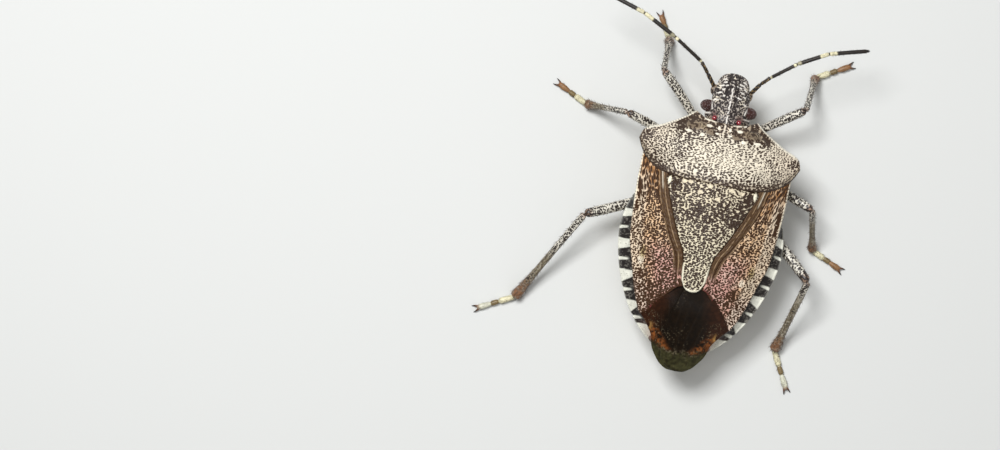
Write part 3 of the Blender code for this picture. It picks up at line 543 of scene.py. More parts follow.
wing_cuticle = cuticle("wing cuticle", (0.048, 0.020, 0.007), rough=0.48, shine=0.25)
wing_base = [(2.2, 9.5 + TUCK), (2.6, 9.58 + TUCK), (3.3, 9.95 + TUCK), (3.72, 10.36)]
wing_inner = [(x - 0.16, y) for x, y in SCUTELLUM_SIDE]
wing_inner[0] = (2.2, 9.5 + TUCK)
wing_inner[-1] = (0.3, 4.25)
wing_suture = [(0.3, 4.25)] + WING_SUTURE[1:]
for side_name, wing_side in WING_SIDES.items():
    side_seed, closer, tail_closer, pale_place, dark_place = wing_side
    x, y, u, v = patch(wing_suture, WING_SIDE[::-1], wing_base, wing_inner[::-1], 150, 400)
    width = np.hypot(x[:, -1] - x[:, 0], y[:, -1] - y[:, 0])[:, None] * np.ones_like(u)
    outer_gap = (1 - u) * width
    inner_gap = u * width
    suture_gap = v * WING_LENGTH
    near = punctures(x, y, 0.077, 1.6, side_seed)
    streaks = punctures(suture_gap, inner_gap, 0.088, 3.4, side_seed + 8, 0.4, 0.25)
    blotch = drift(x, y, 0.5, side_seed + 1) * 0.4 + drift(x, y, 0.18, side_seed + 2) * 0.6
    crowd = 0.56 + closer + 0.38 * (blotch - 0.5) + tail_closer * fade(4.6, 3.8, y)
    pale_mark = spot(x, y, pale_place, (0.14, 0.2), 0.5)
    dark_mark = spot(x, y, dark_place, (0.2, 0.22), 0.6)
    band = fade(0.75, 0.45, outer_gap) * fade(9.6, 8.8, y)
    crowd += 0.2 * dark_mark - 0.35 * pale_mark - 0.10 * band
    crowd = np.minimum(crowd, 0.74)
    # The furrow, the streaked strip between it and the scutellum, and the edge's markings.
    past_furrow = inner_gap - np.interp(y, (4.2, 9.4), (0.38, 0.72))
    furrow_line = fade(0.05, 0.02, np.abs(past_furrow)) * fade(4.3, 4.8, y)
    strip = np.maximum(fade(0.05, -0.05, past_furrow),
                       fade(7.6, 8.8, y + 0.4 * (drift(x, y, 0.4, side_seed + 9) - 0.5)))
    near = near * (1 - strip) + streaks * strip
    wander = inner_gap + 0.05 * (drift(x, y, 0.5, side_seed + 7) - 0.5)
    lines = np.maximum(fade(0.030, 0.012, np.abs(wander - 0.33)),
                       fade(0.028, 0.010, np.abs(wander - 0.58)))
    lines *= fade(0.15, 0.45, drift(suture_gap, inner_gap * 4, 0.2, side_seed + 5))
    lined = fade(0.64, 0.58, wander) * fade(4.4, 5.2, y)
    edge_line = fade(0.09, 0.05, outer_gap) * fade(7.0, 8.0, y)
    edge_line *= 0.75 + 0.25 * np.cos(suture_gap / WING_BEAD_PITCH * 2 * math.pi)
    edge_dark = fade(0.34, 0.24, outer_gap) * fade(0.06, 0.1, outer_gap) * fade(7.3, 7.6, y)
    edge_dark *= fade(9.2, 8.7, y) * fade(0.3, 0.5, drift(x, y, 0.2, side_seed + 10))
    claval = fade(0.05, 0.02, np.abs(inner_gap - 0.42)) * fade(8.6, 8.9, y)
    # Dark punctures, and the ground colour and the relief under them.
    pit = pitted(near, crowd, 0.13)
    pit = np.maximum(pit * (1 - 0.5 * lined), np.maximum(0.7 * furrow_line, 0.85 * edge_dark))
    pit *= 1 - 0.9 * lines * lined
    pit *= (1 - 0.9 * edge_line) * (1 - 0.8 * claval)
    pit = np.maximum(pit, 0.9 * fade(0.05, 0.025, suture_gap))
    mauve = np.maximum(fade(6.6, 5.4, y) * fade(0.85, 0.45, u), 0.8 * fade(4.6, 3.6, y))
    ruffle = 0.1 * drift(x, y, 0.3, side_seed + 3)
    hem = fade(0.32, 0.12, suture_gap + ruffle) * fade(1.0, 0.8, u)
    pale = fade(0.35, 0.75, drift(x, y, 0.16, side_seed + 4))
    rusty = fade(7.9, 8.9, y) * (1 - 0.55 * pale)
    ground = blend_colours(ROSE, (RUST, rusty), (MAUVE, mauve), (CREAM, 0.25 * pale * (1 - rusty)),
                           (BROWN_BLACK, lined), ((0.27, 0.18, 0.10), lines * lined),
                           (CREAM, 0.55 * band), (CREAM, 0.8 * pale_mark), (CREAM, 0.6 * claval),
                           ((0.33, 0.25, 0.08), 0.8 * spot(x, y, (2.72, 5.5), (0.14, 0.3), 0.8)),
                           (WINE, np.maximum(hem, 0.5 * dark_mark)),
                           ((0.88, 0.82, 0.66), edge_line))
    z = back_height(x, y) - 0.03 + 0.05 * fade(0.12, 0.04, outer_gap) - 0.06 * furrow_line
    for vein in (0.46, 0.76):
        z += 0.045 * fade(0.05, 0.0, np.abs(u - vein)) * fade(0.06, 0.25, v)
    z += 0.03 * (drift(x, y, 0.6, side_seed + 6) - 0.5)
    z -= 0.022 * fade(0.55, 0.15, near)
    z -= roll_off(outer_gap, 0.09, 0.1) + roll_off(suture_gap, 0.08, 0.06)
    z -= 0.14 * fade(0.2, 0.06, inner_gap) + 0.2 * fade(0.25, 0.1, (1 - v) * WING_LENGTH)
    wing = plate(f"wing_{side_name}", x, y, z, wing_cuticle, {"ground": ground, "pit": pit}, 0.22,
                 flip=side_name == "left")
    fit(wing, [f"corium_{side_name}"])

# Membrane of each wing
# The rear part of the fore wing is a thin smoky film with raised long veins. The right one lies
# over the left, and the orange of the abdomen's roof shows through along the sides.
MEMBRANE_SIDE = [(1.42, 1.25), (1.48, 1.5), (1.76, 1.95), (2.25, 2.45)]
MEMBRANE_REAR = [(0, 0), (0.35, 0.02), (0.72, 0.2), (1.08, 0.58), (1.34, 1.0), (1.42, 1.25)]
MEMBRANE_FRONT = [(0.0, 4.25), (0.4, 4.3), (0.8, 4.25), (1.45, 3.6), (1.95, 2.95), (2.25, 2.5)]
SMOKE = (0.006, 0.003, 0.001)
AMBER = (0.26, 0.08, 0.018)

film, film_tree, film_shader, film_where = new_finish(
    "wing membrane", Roughness=0.34, Specular_IOR_Level=0.22, IOR=1.45)
film_lift = remap(film_tree, noise(film_tree, film_where, 5200.0, 6.0), 0.35, 0.68, 0.7, 1.4)
film_tint = add(film_tree, "VectorMath", {0: add(film_tree, "Attribute", attribute_name="ground"),
                                          1: film_lift}, operation="MULTIPLY")
film_bump = add(film_tree, "Bump", {"Height": noise(film_tree, film_where, 9000.0, 3.0),
                                    "Strength": 0.4, "Distance": 8e-6})
feed(film_shader, {"Base Color": film_tint, "Normal": film_bump})

# Each membrane: how much of it laps over the midline, and how high it lies.
for side_name, lap, level in (("left", 0.1, -0.05), ("right", 0.9, 0.03)):
    rear = [(-0.9 * lap, 0.62 * lap), (-0.5 * lap, 0.2 * lap)] + MEMBRANE_REAR
    inner = [(-0.9 * lap, 0.62 * lap), (-1.05 * lap, 1.5), (-0.9 * lap, 2.6), (-0.4 * lap, 4.2)]
    front = [(-0.4 * lap, 4.2)] + MEMBRANE_FRONT
    side = MEMBRANE_SIDE[:-1] + [(2.25, 2.5)]
    x, y, u, v = patch(rear, side, front, inner, 120, 150)
    veins = np.zeros_like(x)
    for vein in (0.12, 0.26, 0.40, 0.54, 0.68, 0.82):
        bend = vein + 0.03 * np.sin(v * 3.0 + vein * 9)
        veins = np.maximum(veins, fade(0.028, 0.004, np.abs(u - bend)) * fade(0.02, 0.2, v)
                           * fade(0.9, 0.6, v))
    aside = np.abs(x)
    edge_gap = np.minimum(v * 3.0, np.minimum(u, 1 - u) * 2.6)
    arc = np.abs(aside - np.interp(y, (0.9, 1.15, 1.5, 2.05), (0.55, 0.9, 1.2, 1.62)))
    glow = 0.9 * fade(0.5, 0.0, arc) * fade(0.85, 1.1, y) * fade(2.3, 1.8, y)
    yellow = spot(aside, y, (1.68, 1.98), (0.13, 0.16), 1.0)
    behind = y - 0.87 - 0.4 * (x / 1.45) ** 2 + 0.3 * (drift(x, y, 0.2, 94) - 0.5)
    rim = fade(0.14, -0.14, behind)
    # Pale raised specks over the film: partly painted glints of light, partly pale specks of the
    # film that crowd near the tail's edge.
    specks_and_glints = fade(0.75, 0.95, drift(x, y, 0.045, 97)) * fade(0.3, 0.9, drift(x, y, 0.6, 99))
    dense = fade(0.5, 0.8, drift(x, y, 0.05, 98)) * fade(0.22, 0.0, np.abs(behind))
    specks_and_glints = np.maximum(specks_and_glints, dense * fade(1.2, 0.6, aside))
    ruddy = fade(0.9, 1.9, aside + 0.25 * (y - 2))
    ragged = 0.5 + 0.9 * (drift(x, y, 0.09, 93) - 0.5) + 0.9 * (drift(x, y, 0.22, 95) - 0.5)
    ground = blend_colours(SMOKE, ((0.035, 0.011, 0.004), 0.7 * ruddy),
                           ((0.036, 0.034, 0.013), rim * (0.4 + 0.9 * ragged * (1 - 0.6 * veins))),
                           (AMBER, 0.85 * glow * fade(0.1, 1.0, ragged) * (1 - 0.8 * rim)),
                           ((0.36, 0.22, 0.07), 0.7 * yellow * fade(0.1, 0.8, ragged)),
                           ((0.016, 0.009, 0.004), 0.2 * veins), ((0.16, 0.13, 0.08), 0.7 * specks_and_glints))
    z = back_height(x, y) + level + 0.014 * veins + 0.02 * (drift(x, y, 0.5, 91) - 0.5)
    z += 0.012 * specks_and_glints - roll_off(edge_gap, 0.05, 0.03)
    z -= 0.16 * fade(2.8, 4.2, y) * fade(1.5, 0.8, aside)
    membrane = plate(f"film_{side_name}", x, y, z, film, {"ground": ground}, 0.05,
                     flip=side_name == "left")
    fit(membrane, [f"membrane_{side_name}"])

# Abdomen
# The abdomen is a flat boat-shaped body of ringed segments under the wings. Its flange stands out
# past them on both sides, black with broad white bars, and its belly is pale with dark specks.
SEGMENT_JOINTS = (8.05, 6.56, 5.02, 3.56, 2.3)
# Each white bar: where its front edge is, and its length at the wing and at the rim.
WHITE_BARS = ((7.46, 0.36, 0.46), (5.95, 0.36, 0.56), (4.46, 0.3, 0.62), (3.02, 0.22, 0.58),
              (1.98, 0.45, 0.75))
ABDOMEN_EDGE = [(0.8, 2.4), (2, 2.68), (4, 2.93), (6.5, 3.1), (8.3, 3.2)]
ABDOMEN_BELLY = [(0.8, 2.2), (2, 1.68), (4, 1.2), (6, 1.0), (7.4, 1.05), (8.3, 1.45)]
ABDOMEN_TAIL = 0.75
ABDOMEN_WIDEST = 6.5
ABDOMEN_FRONT = 8.8
ABDOMEN_HALF_WIDTH = 4.08
COVERED_HALF_WIDTH = [(0.8, 1.2), (1.3, 1.38), (1.75, 1.56), (2.15, 1.84), (2.45, 2.2),
                      (2.8, 2.4)] + [p for p in BACK_HALF_WIDTH if p[0] > 3]
BAR_WHITE = (0.63, 0.63, 0.55)
BAR_BLACK = (0.013, 0.010, 0.009)
BELLY_PALE = (0.60, 0.50, 0.33)
BELLY_TAN = (0.45, 0.32, 0.18)
# Points across the upper half of each ring of the body.
RIM_POINTS = 96


def wrap(rings, masks):
    """Skin a row of closed rings, with a fan over each end, and turn the skin outwards."""
    count, sides = rings.shape[:2]
    points = np.vstack([rings.reshape(-1, 3), rings[0].mean(axis=0), rings[-1].mean(axis=0)])
    cells = np.arange(count * sides).reshape(count, sides)
    after = np.roll(cells, -1, axis=1)
    quads = np.stack([cells[:-1], after[:-1], after[1:], cells[1:]], axis=-1).reshape(-1, 4)
    hub = np.full(sides, count * sides)
    fans = np.stack([np.stack([hub, after[0], cells[0]], axis=-1),
                     np.stack([hub + 1, cells[-1], after[-1]], axis=-1)], axis=1).reshape(-1, 3)
    corners = points[np.vstack([quads, fans[:, [0, 1, 2, 0]]])] - points.mean(axis=0)
    a, b, c, d = corners.transpose(1, 0, 2)
    faces = quads.tolist() + fans.tolist()
    if np.sum(a * (np.cross(b, c) + np.cross(c, d))) < 0:
        faces = [face[::-1] for face in faces]
    flat = {key: np.asarray(values).reshape(count * sides, *np.shape(values)[2:])
            for key, values in masks.items()}
    flat = {key: np.concatenate([values, values[:1], values[-1:]]) for key, values in flat.items()}
    return points, faces, flat


def join_skins(*skins):
    """Put several skins into one, which is then made into one piece."""
    points, faces, start = [], [], 0
    for skin_points, skin_faces, _ in skins:
        points.append(skin_points)
        faces += [[corner + start for corner in face] for face in skin_faces]
        start += len(skin_points)
    masks = {key: np.concatenate([skin[2][key] for skin in skins]) for key in skins[0][2]}
    return np.vstack(points), faces, masks


def abdomen_half_width(y):
    """Half the width of the abdomen, widest in front of its middle and round at the tail."""
    behind = np.clip((ABDOMEN_WIDEST - y) / (ABDOMEN_WIDEST - ABDOMEN_TAIL), 0, 1)
    ahead = np.clip((y - ABDOMEN_WIDEST) / 1.7, 0, 1)
    narrowing = 0.33 * ahead ** 2 + 0.4 * fade(8.1, 8.7, y)
    return ABDOMEN_HALF_WIDTH * np.sqrt(1 - behind ** 1.6) - narrowing


ways = np.linspace(0, math.pi, RIM_POINTS)
crosswise = np.concatenate([-np.cos(ways), np.cos(ways)])
upper = np.arange(2 * RIM_POINTS)[None, :] < RIM_POINTS
y, across = np.meshgrid(np.linspace(0.80, ABDOMEN_FRONT, 300), crosswise, indexing="ij")
joint_gap = np.min([np.abs(y - joint) for joint in SEGMENT_JOINTS], axis=0)
notch = fade(0.07, 0.0, joint_gap)
half = abdomen_half_width(y) - 0.05 * notch
x = half * across
edge = curve(ABDOMEN_EDGE, y)
belly = curve(ABDOMEN_BELLY, y)
covered = np.minimum(curve(COVERED_HALF_WIDTH, y), half - 0.05)
free = np.clip((np.abs(x) - covered) / np.maximum(half - covered, 0.05), 0, 1)
# The roof under the wings, the flange past them, and the keel-shaped belly.
roof = back_height(np.sign(x) * np.minimum(np.abs(x), covered), y) - 0.26
flange = roof + (edge - roof) * free ** 0.8 + 0.05 * fade(0.75, 0.95, free)
flange -= 0.05 * notch * fade(0.0, 0.3, free)
keel = (edge - 0.2) - (edge - 0.2 - belly) * (1 - np.abs(across) ** 1.7) + 0.06 * notch
z = np.where(upper, np.maximum(flange, roof * (free <= 0)), keel)
z = 2.5 + (z - 2.5) * np.sqrt(1 - fade(1.25, 0.8, y) * 0.97)
# The white bars, the pale seams of the segments, and what is under the body.
white = np.zeros_like(x)
wobble = 0.05 * (drift(x, y, 0.15, 101) - 0.5)
for bar, inner_reach, outer_reach in WHITE_BARS:
    behind = bar - (inner_reach + (outer_reach - inner_reach) * free) + wobble
    bar_mask = fade(bar + 0.02, bar - 0.02, y - wobble) * fade(-0.02, 0.02, y - behind)
    white = np.maximum(white, bar_mask)
for joint in SEGMENT_JOINTS[1:]:
    arc = np.abs(y - joint + 0.10 * (free - 0.2))
    seam = 0.9 * fade(0.085, 0.045, arc - 0.05 * (free - 0.5)) * fade(0.1, 0.4, free)
    white = np.maximum(white, seam)
    white = np.maximum(white, fade(0.10, 0.06, arc) * fade(0.80, 0.9, free))
aside = np.abs(across)
white = np.maximum(white, 0.3 * fade(0.985, 0.997, aside))
dust = fade(0.62, 0.85, drift(x, y, 0.05, 107)) * (1 - white)
dust += fade(7.5, 8.2, y) * fade(0.45, 0.6, drift(x, y, 0.08, 108)) + 4 * fade(8.1, 8.5, y)
spiracle = sum(spot(aside, y, (0.74, bar[0] - 0.2), (0.03, 0.07), 0.3) for bar in WHITE_BARS[:4])
under = fade(0.965, 0.90, aside + 0.02 * drift(y, x, 0.2, 105))
under = np.where(upper, 0, np.maximum(under, fade(1.35, 1.15, y)))
pit = 0.5 * white * (1 - under) + under * (0.3 + 0.6 * fade(0.5, 0.9, aside))
banded = blend_colours(BAR_BLACK, (BAR_WHITE, white),
                       ((0.16, 0.15, 0.13), 0.8 * np.minimum(dust, 1)),
                       ((0.30, 0.10, 0.05), 0.6 * fade(2.4, 1.2, y) * (1 - free)))
ground = blend_colours(banded, (BELLY_PALE, under),
                       (BELLY_TAN, 0.4 * under * fade(0.75, 1.0, aside)),
                       ((0.72, 0.64, 0.45), 0.5 * under * fade(0.2, 0.0, aside)),
                       ((0.05, 0.03, 0.02), spiracle * under))
body_cuticle = cuticle("body cuticle", (0.035, 0.02, 0.014), shine=0.3, dots=True)
skin = wrap(np.stack([x, y, z], axis=-1), {"ground": ground, "pit": pit})
abdomen = make_piece("abdomen_body", skin, body_cuticle)
fit(abdomen, ["abdomen"])

# Thorax and hips
# Under the pronotum the thorax is a keeled box of pale speckled cuticle. The six hips are short
# thick knobs that stand out of it close to the middle, one pair behind the other.
THORAX_HALF_WIDTH = [(8.3, 3.5), (10, 3.55), (10.9, 3.6), (11.4, 3.2), (11.8, 2.5), (12.5, 1.3)]
THORAX_REAR, THORAX_FRONT = 8.3, 12.5
STERNUM = 1.85
# The underside is flat this far out from the midline.
FLAT_HALF_WIDTH = 0.9
PLEURA_SEAMS = (9.95, 11.45)
HIP_RADII = (0.36, 0.38, 0.48)
# Points up each side wall of the thorax.
WALL_POINTS = 12
HIPS = {"fore": (0.95, 11.98, 1.6), "mid": (1.05, 10.8, 1.6), "hind": (1.2, 9.15, 1.6)}


def ball(centre, radii, rows, sides, masks_at=lambda points: {}):
    """Skin of an ellipsoid whose rings stand across X, with masks from its own places."""
    turn, around = np.meshgrid(np.linspace(0.03, math.pi - 0.03, rows),
                               np.linspace(0, 2 * math.pi, sides, endpoint=False), indexing="ij")
    rings = np.stack([centre[0] + radii[0] * np.cos(turn),
                      centre[1] + radii[1] * np.sin(turn) * np.cos(around),
                      centre[2] + radii[2] * np.sin(turn) * np.sin(around)], axis=-1)
    return wrap(rings, masks_at(rings))


def speckled_body(points):
    """Masks of the pale speckled cuticle under the body."""
    patchy = drift(np.abs(points[..., 0]) + points[..., 2], points[..., 1], 0.5, 113)
    ground = blend_colours(BELLY_PALE, ((0.42, 0.30, 0.18), 0.7 * patchy))
    return {"ground": ground, "pit": 0.55 + 0.4 * patchy}


wall = np.linspace(0, 1, WALL_POINTS)
sunk = np.concatenate([np.zeros(RIM_POINTS), wall, np.ones(RIM_POINTS), wall[::-1]])
crosswise = np.concatenate([-np.cos(ways), np.ones(WALL_POINTS), np.cos(ways),
                            -np.ones(WALL_POINTS)])
y, across = np.meshgrid(np.linspace(THORAX_REAR, THORAX_FRONT, 130), crosswise, indexing="ij")
half = curve(THORAX_HALF_WIDTH, y)
x = half * across
low = back_height(half, y) - 0.9
out = np.clip((np.abs(x) - FLAT_HALF_WIDTH) / (half - FLAT_HALF_WIDTH), 0, 1)
base = STERNUM + (low - STERNUM) * out ** 0.6 - 0.38 * np.exp(-(x / 0.32) ** 2)
pleura_seams = np.min([np.abs(y - seam) for seam in PLEURA_SEAMS], axis=0)
base += 0.05 * fade(0.07, 0.0, pleura_seams)
z = (back_height(x, y) - 0.27) * (1 - sunk) + base * sunk
x = x - np.sign(x) * 0.06 * fade(0.07, 0.0, pleura_seams) * fade(0.0, 0.3, sunk)
places = np.stack([x, y, z], axis=-1)
skins = [wrap(places, speckled_body(places))]
for hip_x, hip_y, hip_z in HIPS.values():
    for side in (-1, 1):
        skins.append(ball((side * hip_x, hip_y, hip_z + 0.1), HIP_RADII, 20, 28, speckled_body))
thorax = make_piece("thorax_body", join_skins(*skins), body_cuticle)
fit(thorax, ["thorax"])

# Head
# The head is a blunt tongue of dark cuticle with pale flecks. Two side lobes run on either side of
# a narrow middle lobe, and a pale line follows the middle back to the pronotum.
HEAD_HALF_WIDTH = [(12.3, 0.98), (12.6, 1.08), (12.82, 1.14), (13.0, 0.97), (13.4, 0.95),
                   (13.7, 0.93),
                   (13.85, 0.93), (14.0, 0.88), (14.2, 0.83), (14.5, 0.78), (14.75, 0.66),
                   (14.92, 0.45), (15.0, 0.2)]
HEAD_CREST = [(12.3, 4.6), (12.6, 4.66), (13.2, 4.5), (14.2, 4.05), (14.8, 3.7), (15, 3.52)]
HEAD_MARGIN = [(12.3, 3.85), (13.5, 3.75), (14.5, 3.55), (15, 3.42)]
HEAD_BELLY = [(12.3, 2.0), (12.6, 2.15), (13.5, 2.4), (14.2, 2.78), (14.8, 3.12), (15, 3.3)]
HEAD_FLECKS = ((0.50, 14.62), (0.42, 14.45), (0.58, 14.3), (0.47, 14.1), (0.36, 13.76),
               (0.3, 14.28), (0.62, 13.95), (0.72, 13.6))
HEAD_REAR, HEAD_LENGTH = 12.3, 2.7
HEAD_POINTS = 110
KNOB_RADII = (0.2, 0.28, 0.2)

ways = np.linspace(0, math.pi, HEAD_POINTS)
crosswise = np.concatenate([-np.cos(ways), np.cos(ways[::2])])
upper = np.arange(len(crosswise))[None, :] < HEAD_POINTS
spread = HEAD_REAR + HEAD_LENGTH * np.sin(np.linspace(0, math.pi / 2, 150)) ** 0.9
y, across = np.meshgrid(spread, crosswise, indexing="ij")
half = curve(HEAD_HALF_WIDTH, y)
x = half * across
aside = np.abs(x)
crest, margin, belly = curve(HEAD_CREST, y), curve(HEAD_MARGIN, y), curve(HEAD_BELLY, y)
lobe = 0.27 - 0.05 * fade(14.2, 14.9, y)
groove = fade(0.07, 0.0, np.abs(aside - lobe)) * fade(13.3, 13.8, y)
dome = margin + (crest - margin) * (1 - np.abs(across) ** 2.6)
throat = margin - (margin - belly) * np.sqrt(np.maximum(0, 1 - across ** 2))
lengthwise = fade(14.2, 13.7, y)
near = (punctures(x, y, 0.078, 1.4, 121, 0.9, 1.2) * (1 - lengthwise)
        + punctures(y, x, 0.074, 1.4, 129, 0.8, 0.9) * lengthwise)
brow = np.exp(-((aside - 0.86) / 0.12) ** 2 - ((y - 13.22) / 0.3) ** 2)
z_top = (dome + 0.26 * brow - 0.06 * groove - 0.03 * fade(0.5, 0.12, near)
         + 0.03 * fade(0.3, 0.0, aside))
z = np.where(upper, z_top, throat)
# Flecks of cream, rings round the eyes, and the pale middle line.
fleck = drift(x, y, 0.17, 123) * 0.6 + drift(x, y, 0.4, 125) * 0.4
crowd = 0.56 + 0.34 * (0.5 - fleck) - 0.10 * fade(13.9, 14.5, y) * fade(0.35, 0.6, aside)
crowd += 0.12 * spot(x, y, (0.03, 14.75), (0.3, 0.2), 0.6) - 0.03 * fade(13.6, 13.0, y)
white_flecks = sum(spot(aside + 0.05 * np.sin(9 * x), y + 0.3 * (aside - 0.5), centre,
                        (0.11, 0.04), 0.35) for centre in HEAD_FLECKS)
eye_rim = fade(0.04, 0.015, np.abs(aside - np.interp(y, (13.0, 13.4), (0.80, 0.90))))
eye_rim *= fade(13.0, 13.06, y) * fade(13.44, 13.38, y)
eye_rim += spot(aside, y + 0.1 * (aside - 1), (0.99, 12.82), (0.16, 0.04), 0.4)
midline_pale = fade(0.045, 0.02, np.abs(x + 0.015 * np.sin(y * 21))) * fade(14.4, 14.2, y)
midline_pale *= fade(0.2, 0.4, drift(x, y, 0.11, 127))
midline_pale = np.clip(midline_pale + white_flecks + eye_rim, 0, 1)
beside_midline = spot(aside, y, (0.13, 14.15), (0.035, 0.28), 0.5)
socket = spot(aside, y, (0.62, 12.70), (0.2, 0.26), 0.6)
pit = np.clip(pitted(near, crowd) + 0.8 * groove + beside_midline
              - midline_pale - 0.3 * socket, 0, 1)
throat_pit = 0.8 * fade(0.5, 0.2, punctures(aside + z, y, 0.1, 1.2, 133))
pit = np.where(upper, pit, throat_pit)
ground = blend_colours((0.48, 0.43, 0.38), (CREAM, fade(0.55, 0.75, fleck)),
                       ((0.16, 0.12, 0.10), 0.4 * fade(13.9, 12.9, y)),
                       ((0.70, 0.67, 0.62), midline_pale), ((0.09, 0.03, 0.028), 0.85 * socket))
ground = np.where(upper[..., None], ground, np.ones_like(ground) * BELLY_PALE)
skins = [wrap(leaning(np.stack([x, y, z], axis=-1)), {"ground": ground, "pit": pit})]


def dark_knob(points):
    """Masks of the short dark knobs that carry the feelers."""
    near = punctures(points[..., 0], points[..., 1], 0.1, 1.0, 131)
    return {"ground": blend_colours((0.30, 0.22, 0.15), (CREAM, 0.2 * near)),
            "pit": fade(0.6, 0.3, near) * 0.9}


for side in (-1, 1):
    skins.append(ball((side * 0.86, 14.05, 3.15), KNOB_RADII, 20, 24, dark_knob))
head_cuticle = cuticle("head cuticle", (0.020, 0.014, 0.013), rough=0.40)
head = make_piece("head_capsule", join_skins(*skins), head_cuticle)
fit(head, ["head"])

# Eyes and ocelli
# Each compound eye is a dark red-brown bead of many small lenses at the side of the head. Two
# simple eyes, the ocelli, are smooth red beads near its rear edge.
EYE_CENTRE = (1.02, 13.19, 3.78)
EYE_RADII = (0.37, 0.28, 0.33)
# Both eyes lie a little to the bug's left, as the whole upper body does.
EYE_SHIFT = 0.03
FACET_RADIUS = 0.026
OCELLUS = (0.61, 12.61)
OCELLUS_RADII = (0.12, 0.13, 0.12)
OCELLUS_DEPTH = 0.14

eye_glass, eye_tree, eye_shader, eye_where = new_finish(
    "eye facets", Roughness=0.18, Specular_IOR_Level=0.6, IOR=1.5, Coat_Weight=0.5,
    Coat_Roughness=0.06)
feed(eye_shader, {"Base Color": add(eye_tree, "MixRGB", {
    "Fac": noise(eye_tree, eye_where, 3000.0, 2.0), "Color1": (0.020, 0.006, 0.005, 1),
    "Color2": (0.070, 0.020, 0.015, 1)})})


def new_tree(name, *inputs):
    """A Geometry Nodes tree with a mesh in and out and named inputs with their default values."""
    tree = bpy.data.node_groups.new(name, "GeometryNodeTree")
    tree.interface.new_socket("Geometry", in_out="INPUT", socket_type="NodeSocketGeometry")
    tree.interface.new_socket("Geometry", in_out="OUTPUT", socket_type="NodeSocketGeometry")
    for label, kind, value in inputs:
        made = tree.interface.new_socket(label, in_out="INPUT", socket_type="NodeSocket" + kind)
        if value is not None:
            made.default_value = value
    return tree, tree.nodes.new("NodeGroupInput"), tree.nodes.new("NodeGroupOutput")


def geo(tree, kind, inputs=None, **options):
    """Add a geometry node."""
    return put(tree, "GeometryNode" + kind, inputs, **options)


def grow(piece, tree, **values):
    """Run a tree on a piece with named input values and keep the result as a plain mesh."""
    modifier = piece.modifiers.new("grow", "NODES")
    modifier.node_group = tree
    for item in tree.interface.items_tree:
        key = item.name.replace(" ", "_").lower()
        if item.in_out == "INPUT" and key in values:
            modifier[item.identifier] = values[key]
    seen = piece.evaluated_get(bpy.context.evaluated_depsgraph_get())
    mesh = bpy.data.meshes.new_from_object(seen)
    piece.modifiers.remove(modifier)
    mesh.attributes.remove(mesh.attributes["grown"])
    piece.data = mesh
    mesh.shade_smooth()


def marked(tree, shape):
    """Mark the faces of a small shape as grown."""
    return geo(tree, "StoreNamedAttribute", {"Geometry": shape, "Name": "grown", "Value": True},
               data_type="BOOLEAN", domain="FACE")


def close_tree(tree, start, end, copies):
    """Join the copies to the piece, make them real, and give what has grown its finish."""
    whole = geo(tree, "JoinGeometry", {"Geometry": copies})
    feed(whole, {"Geometry": start.outputs["Geometry"]})
    real = geo(tree, "RealizeInstances", {"Geometry": whole})
    grown = geo(tree, "InputNamedAttribute", {"Name": "grown"}, data_type="BOOLEAN")
    dressed = geo(tree, "SetMaterial", {
        "Geometry": real, "Selection": grown, "Material": start.outputs["Finish"]})
    feed(end, {"Geometry": dressed})


facet_tree, start, end = new_tree("facets", ("Facet Radius", "Float", 2e-5),
                                  ("Finish", "Material", None))
lens = geo(facet_tree, "MeshIcoSphere", {"Radius": start.outputs["Facet Radius"],
                                                     "Subdivisions": 2})
sites = geo(facet_tree, "MeshToPoints", {"Mesh": start.outputs["Geometry"]})
lenses = geo(facet_tree, "InstanceOnPoints",
             {"Points": sites, "Instance": marked(facet_tree, lens)})
close_tree(facet_tree, start, end, lenses)

ocelli_skins = []
for side_name, side in (("left", -1), ("right", 1)):
    centre = (side * EYE_CENTRE[0] - EYE_SHIFT, EYE_CENTRE[1], EYE_CENTRE[2])
    eye = make_piece(f"compound_eye_{side_name}", ball(centre, EYE_RADII, 26, 34), eye_glass)
    grow(eye, facet_tree, facet_radius=FACET_RADIUS * MM, finish=eye_glass)
    fit(eye, [f"eye_{side_name}"])
    height = float(curve(HEAD_CREST, OCELLUS[1])) - OCELLUS_DEPTH
    ocelli_skins.append(ball(leaning((side * OCELLUS[0], OCELLUS[1], height)), OCELLUS_RADII,
                             24, 32))

ocellus_glass = new_finish(
    "ocellus", Base_Color=(0.20, 0.012, 0.022, 1), Roughness=0.12, Specular_IOR_Level=0.6,
    Coat_Weight=1.0, Coat_Roughness=0.04)[0]
ocelli = make_piece("ocelli", join_skins(*ocelli_skins), ocellus_glass)
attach(ocelli, "root")

# Beak
# The beak is a slim straw of four joints, folded back under the head and between the hips. It is
# pale brown with a dark tip.
BEAK_ROUTE = [(0, 14.35, 3.05), (0, 14.3, 2.6), (0, 13.6, 1.98), (0, 12.9, 1.56), (0, 11.8, 1.35),
              (0, 8.85, 1.3)]


def tube(centres, radii, sides, shape=None):
    """Rings round a line of evenly numbered centres.

    With them come the way along in mm, the turn round, the direction ahead and the part of the
    centres that each place has behind it.
    """
    centres, radii = np.asarray(centres, dtype=float), np.asarray(radii, dtype=float)
    ahead = np.gradient(centres, axis=0)
    ahead /= np.linalg.norm(ahead, axis=1)[:, None]
    beside = np.cross(ahead, (0, 0, 1))
    beside /= np.linalg.norm(beside, axis=1)[:, None]
    top = np.cross(beside, ahead)
    turn = np.linspace(0, 2 * math.pi, sides, endpoint=False)
    part = np.linspace(0, 1, len(centres))[:, None] * np.ones(sides)
    turn, way = np.meshgrid(turn, way_along(centres))
    size = radii[:, None] * (shape(way, turn) if shape else 1.0)
    rings = (centres[:, None] + size[..., None] * (np.cos(turn)[..., None] * beside[:, None]
                                                   + np.sin(turn)[..., None] * top[:, None]))
    lie = np.broadcast_to(ahead[:, None], rings.shape)
    return rings, way, turn, lie, part


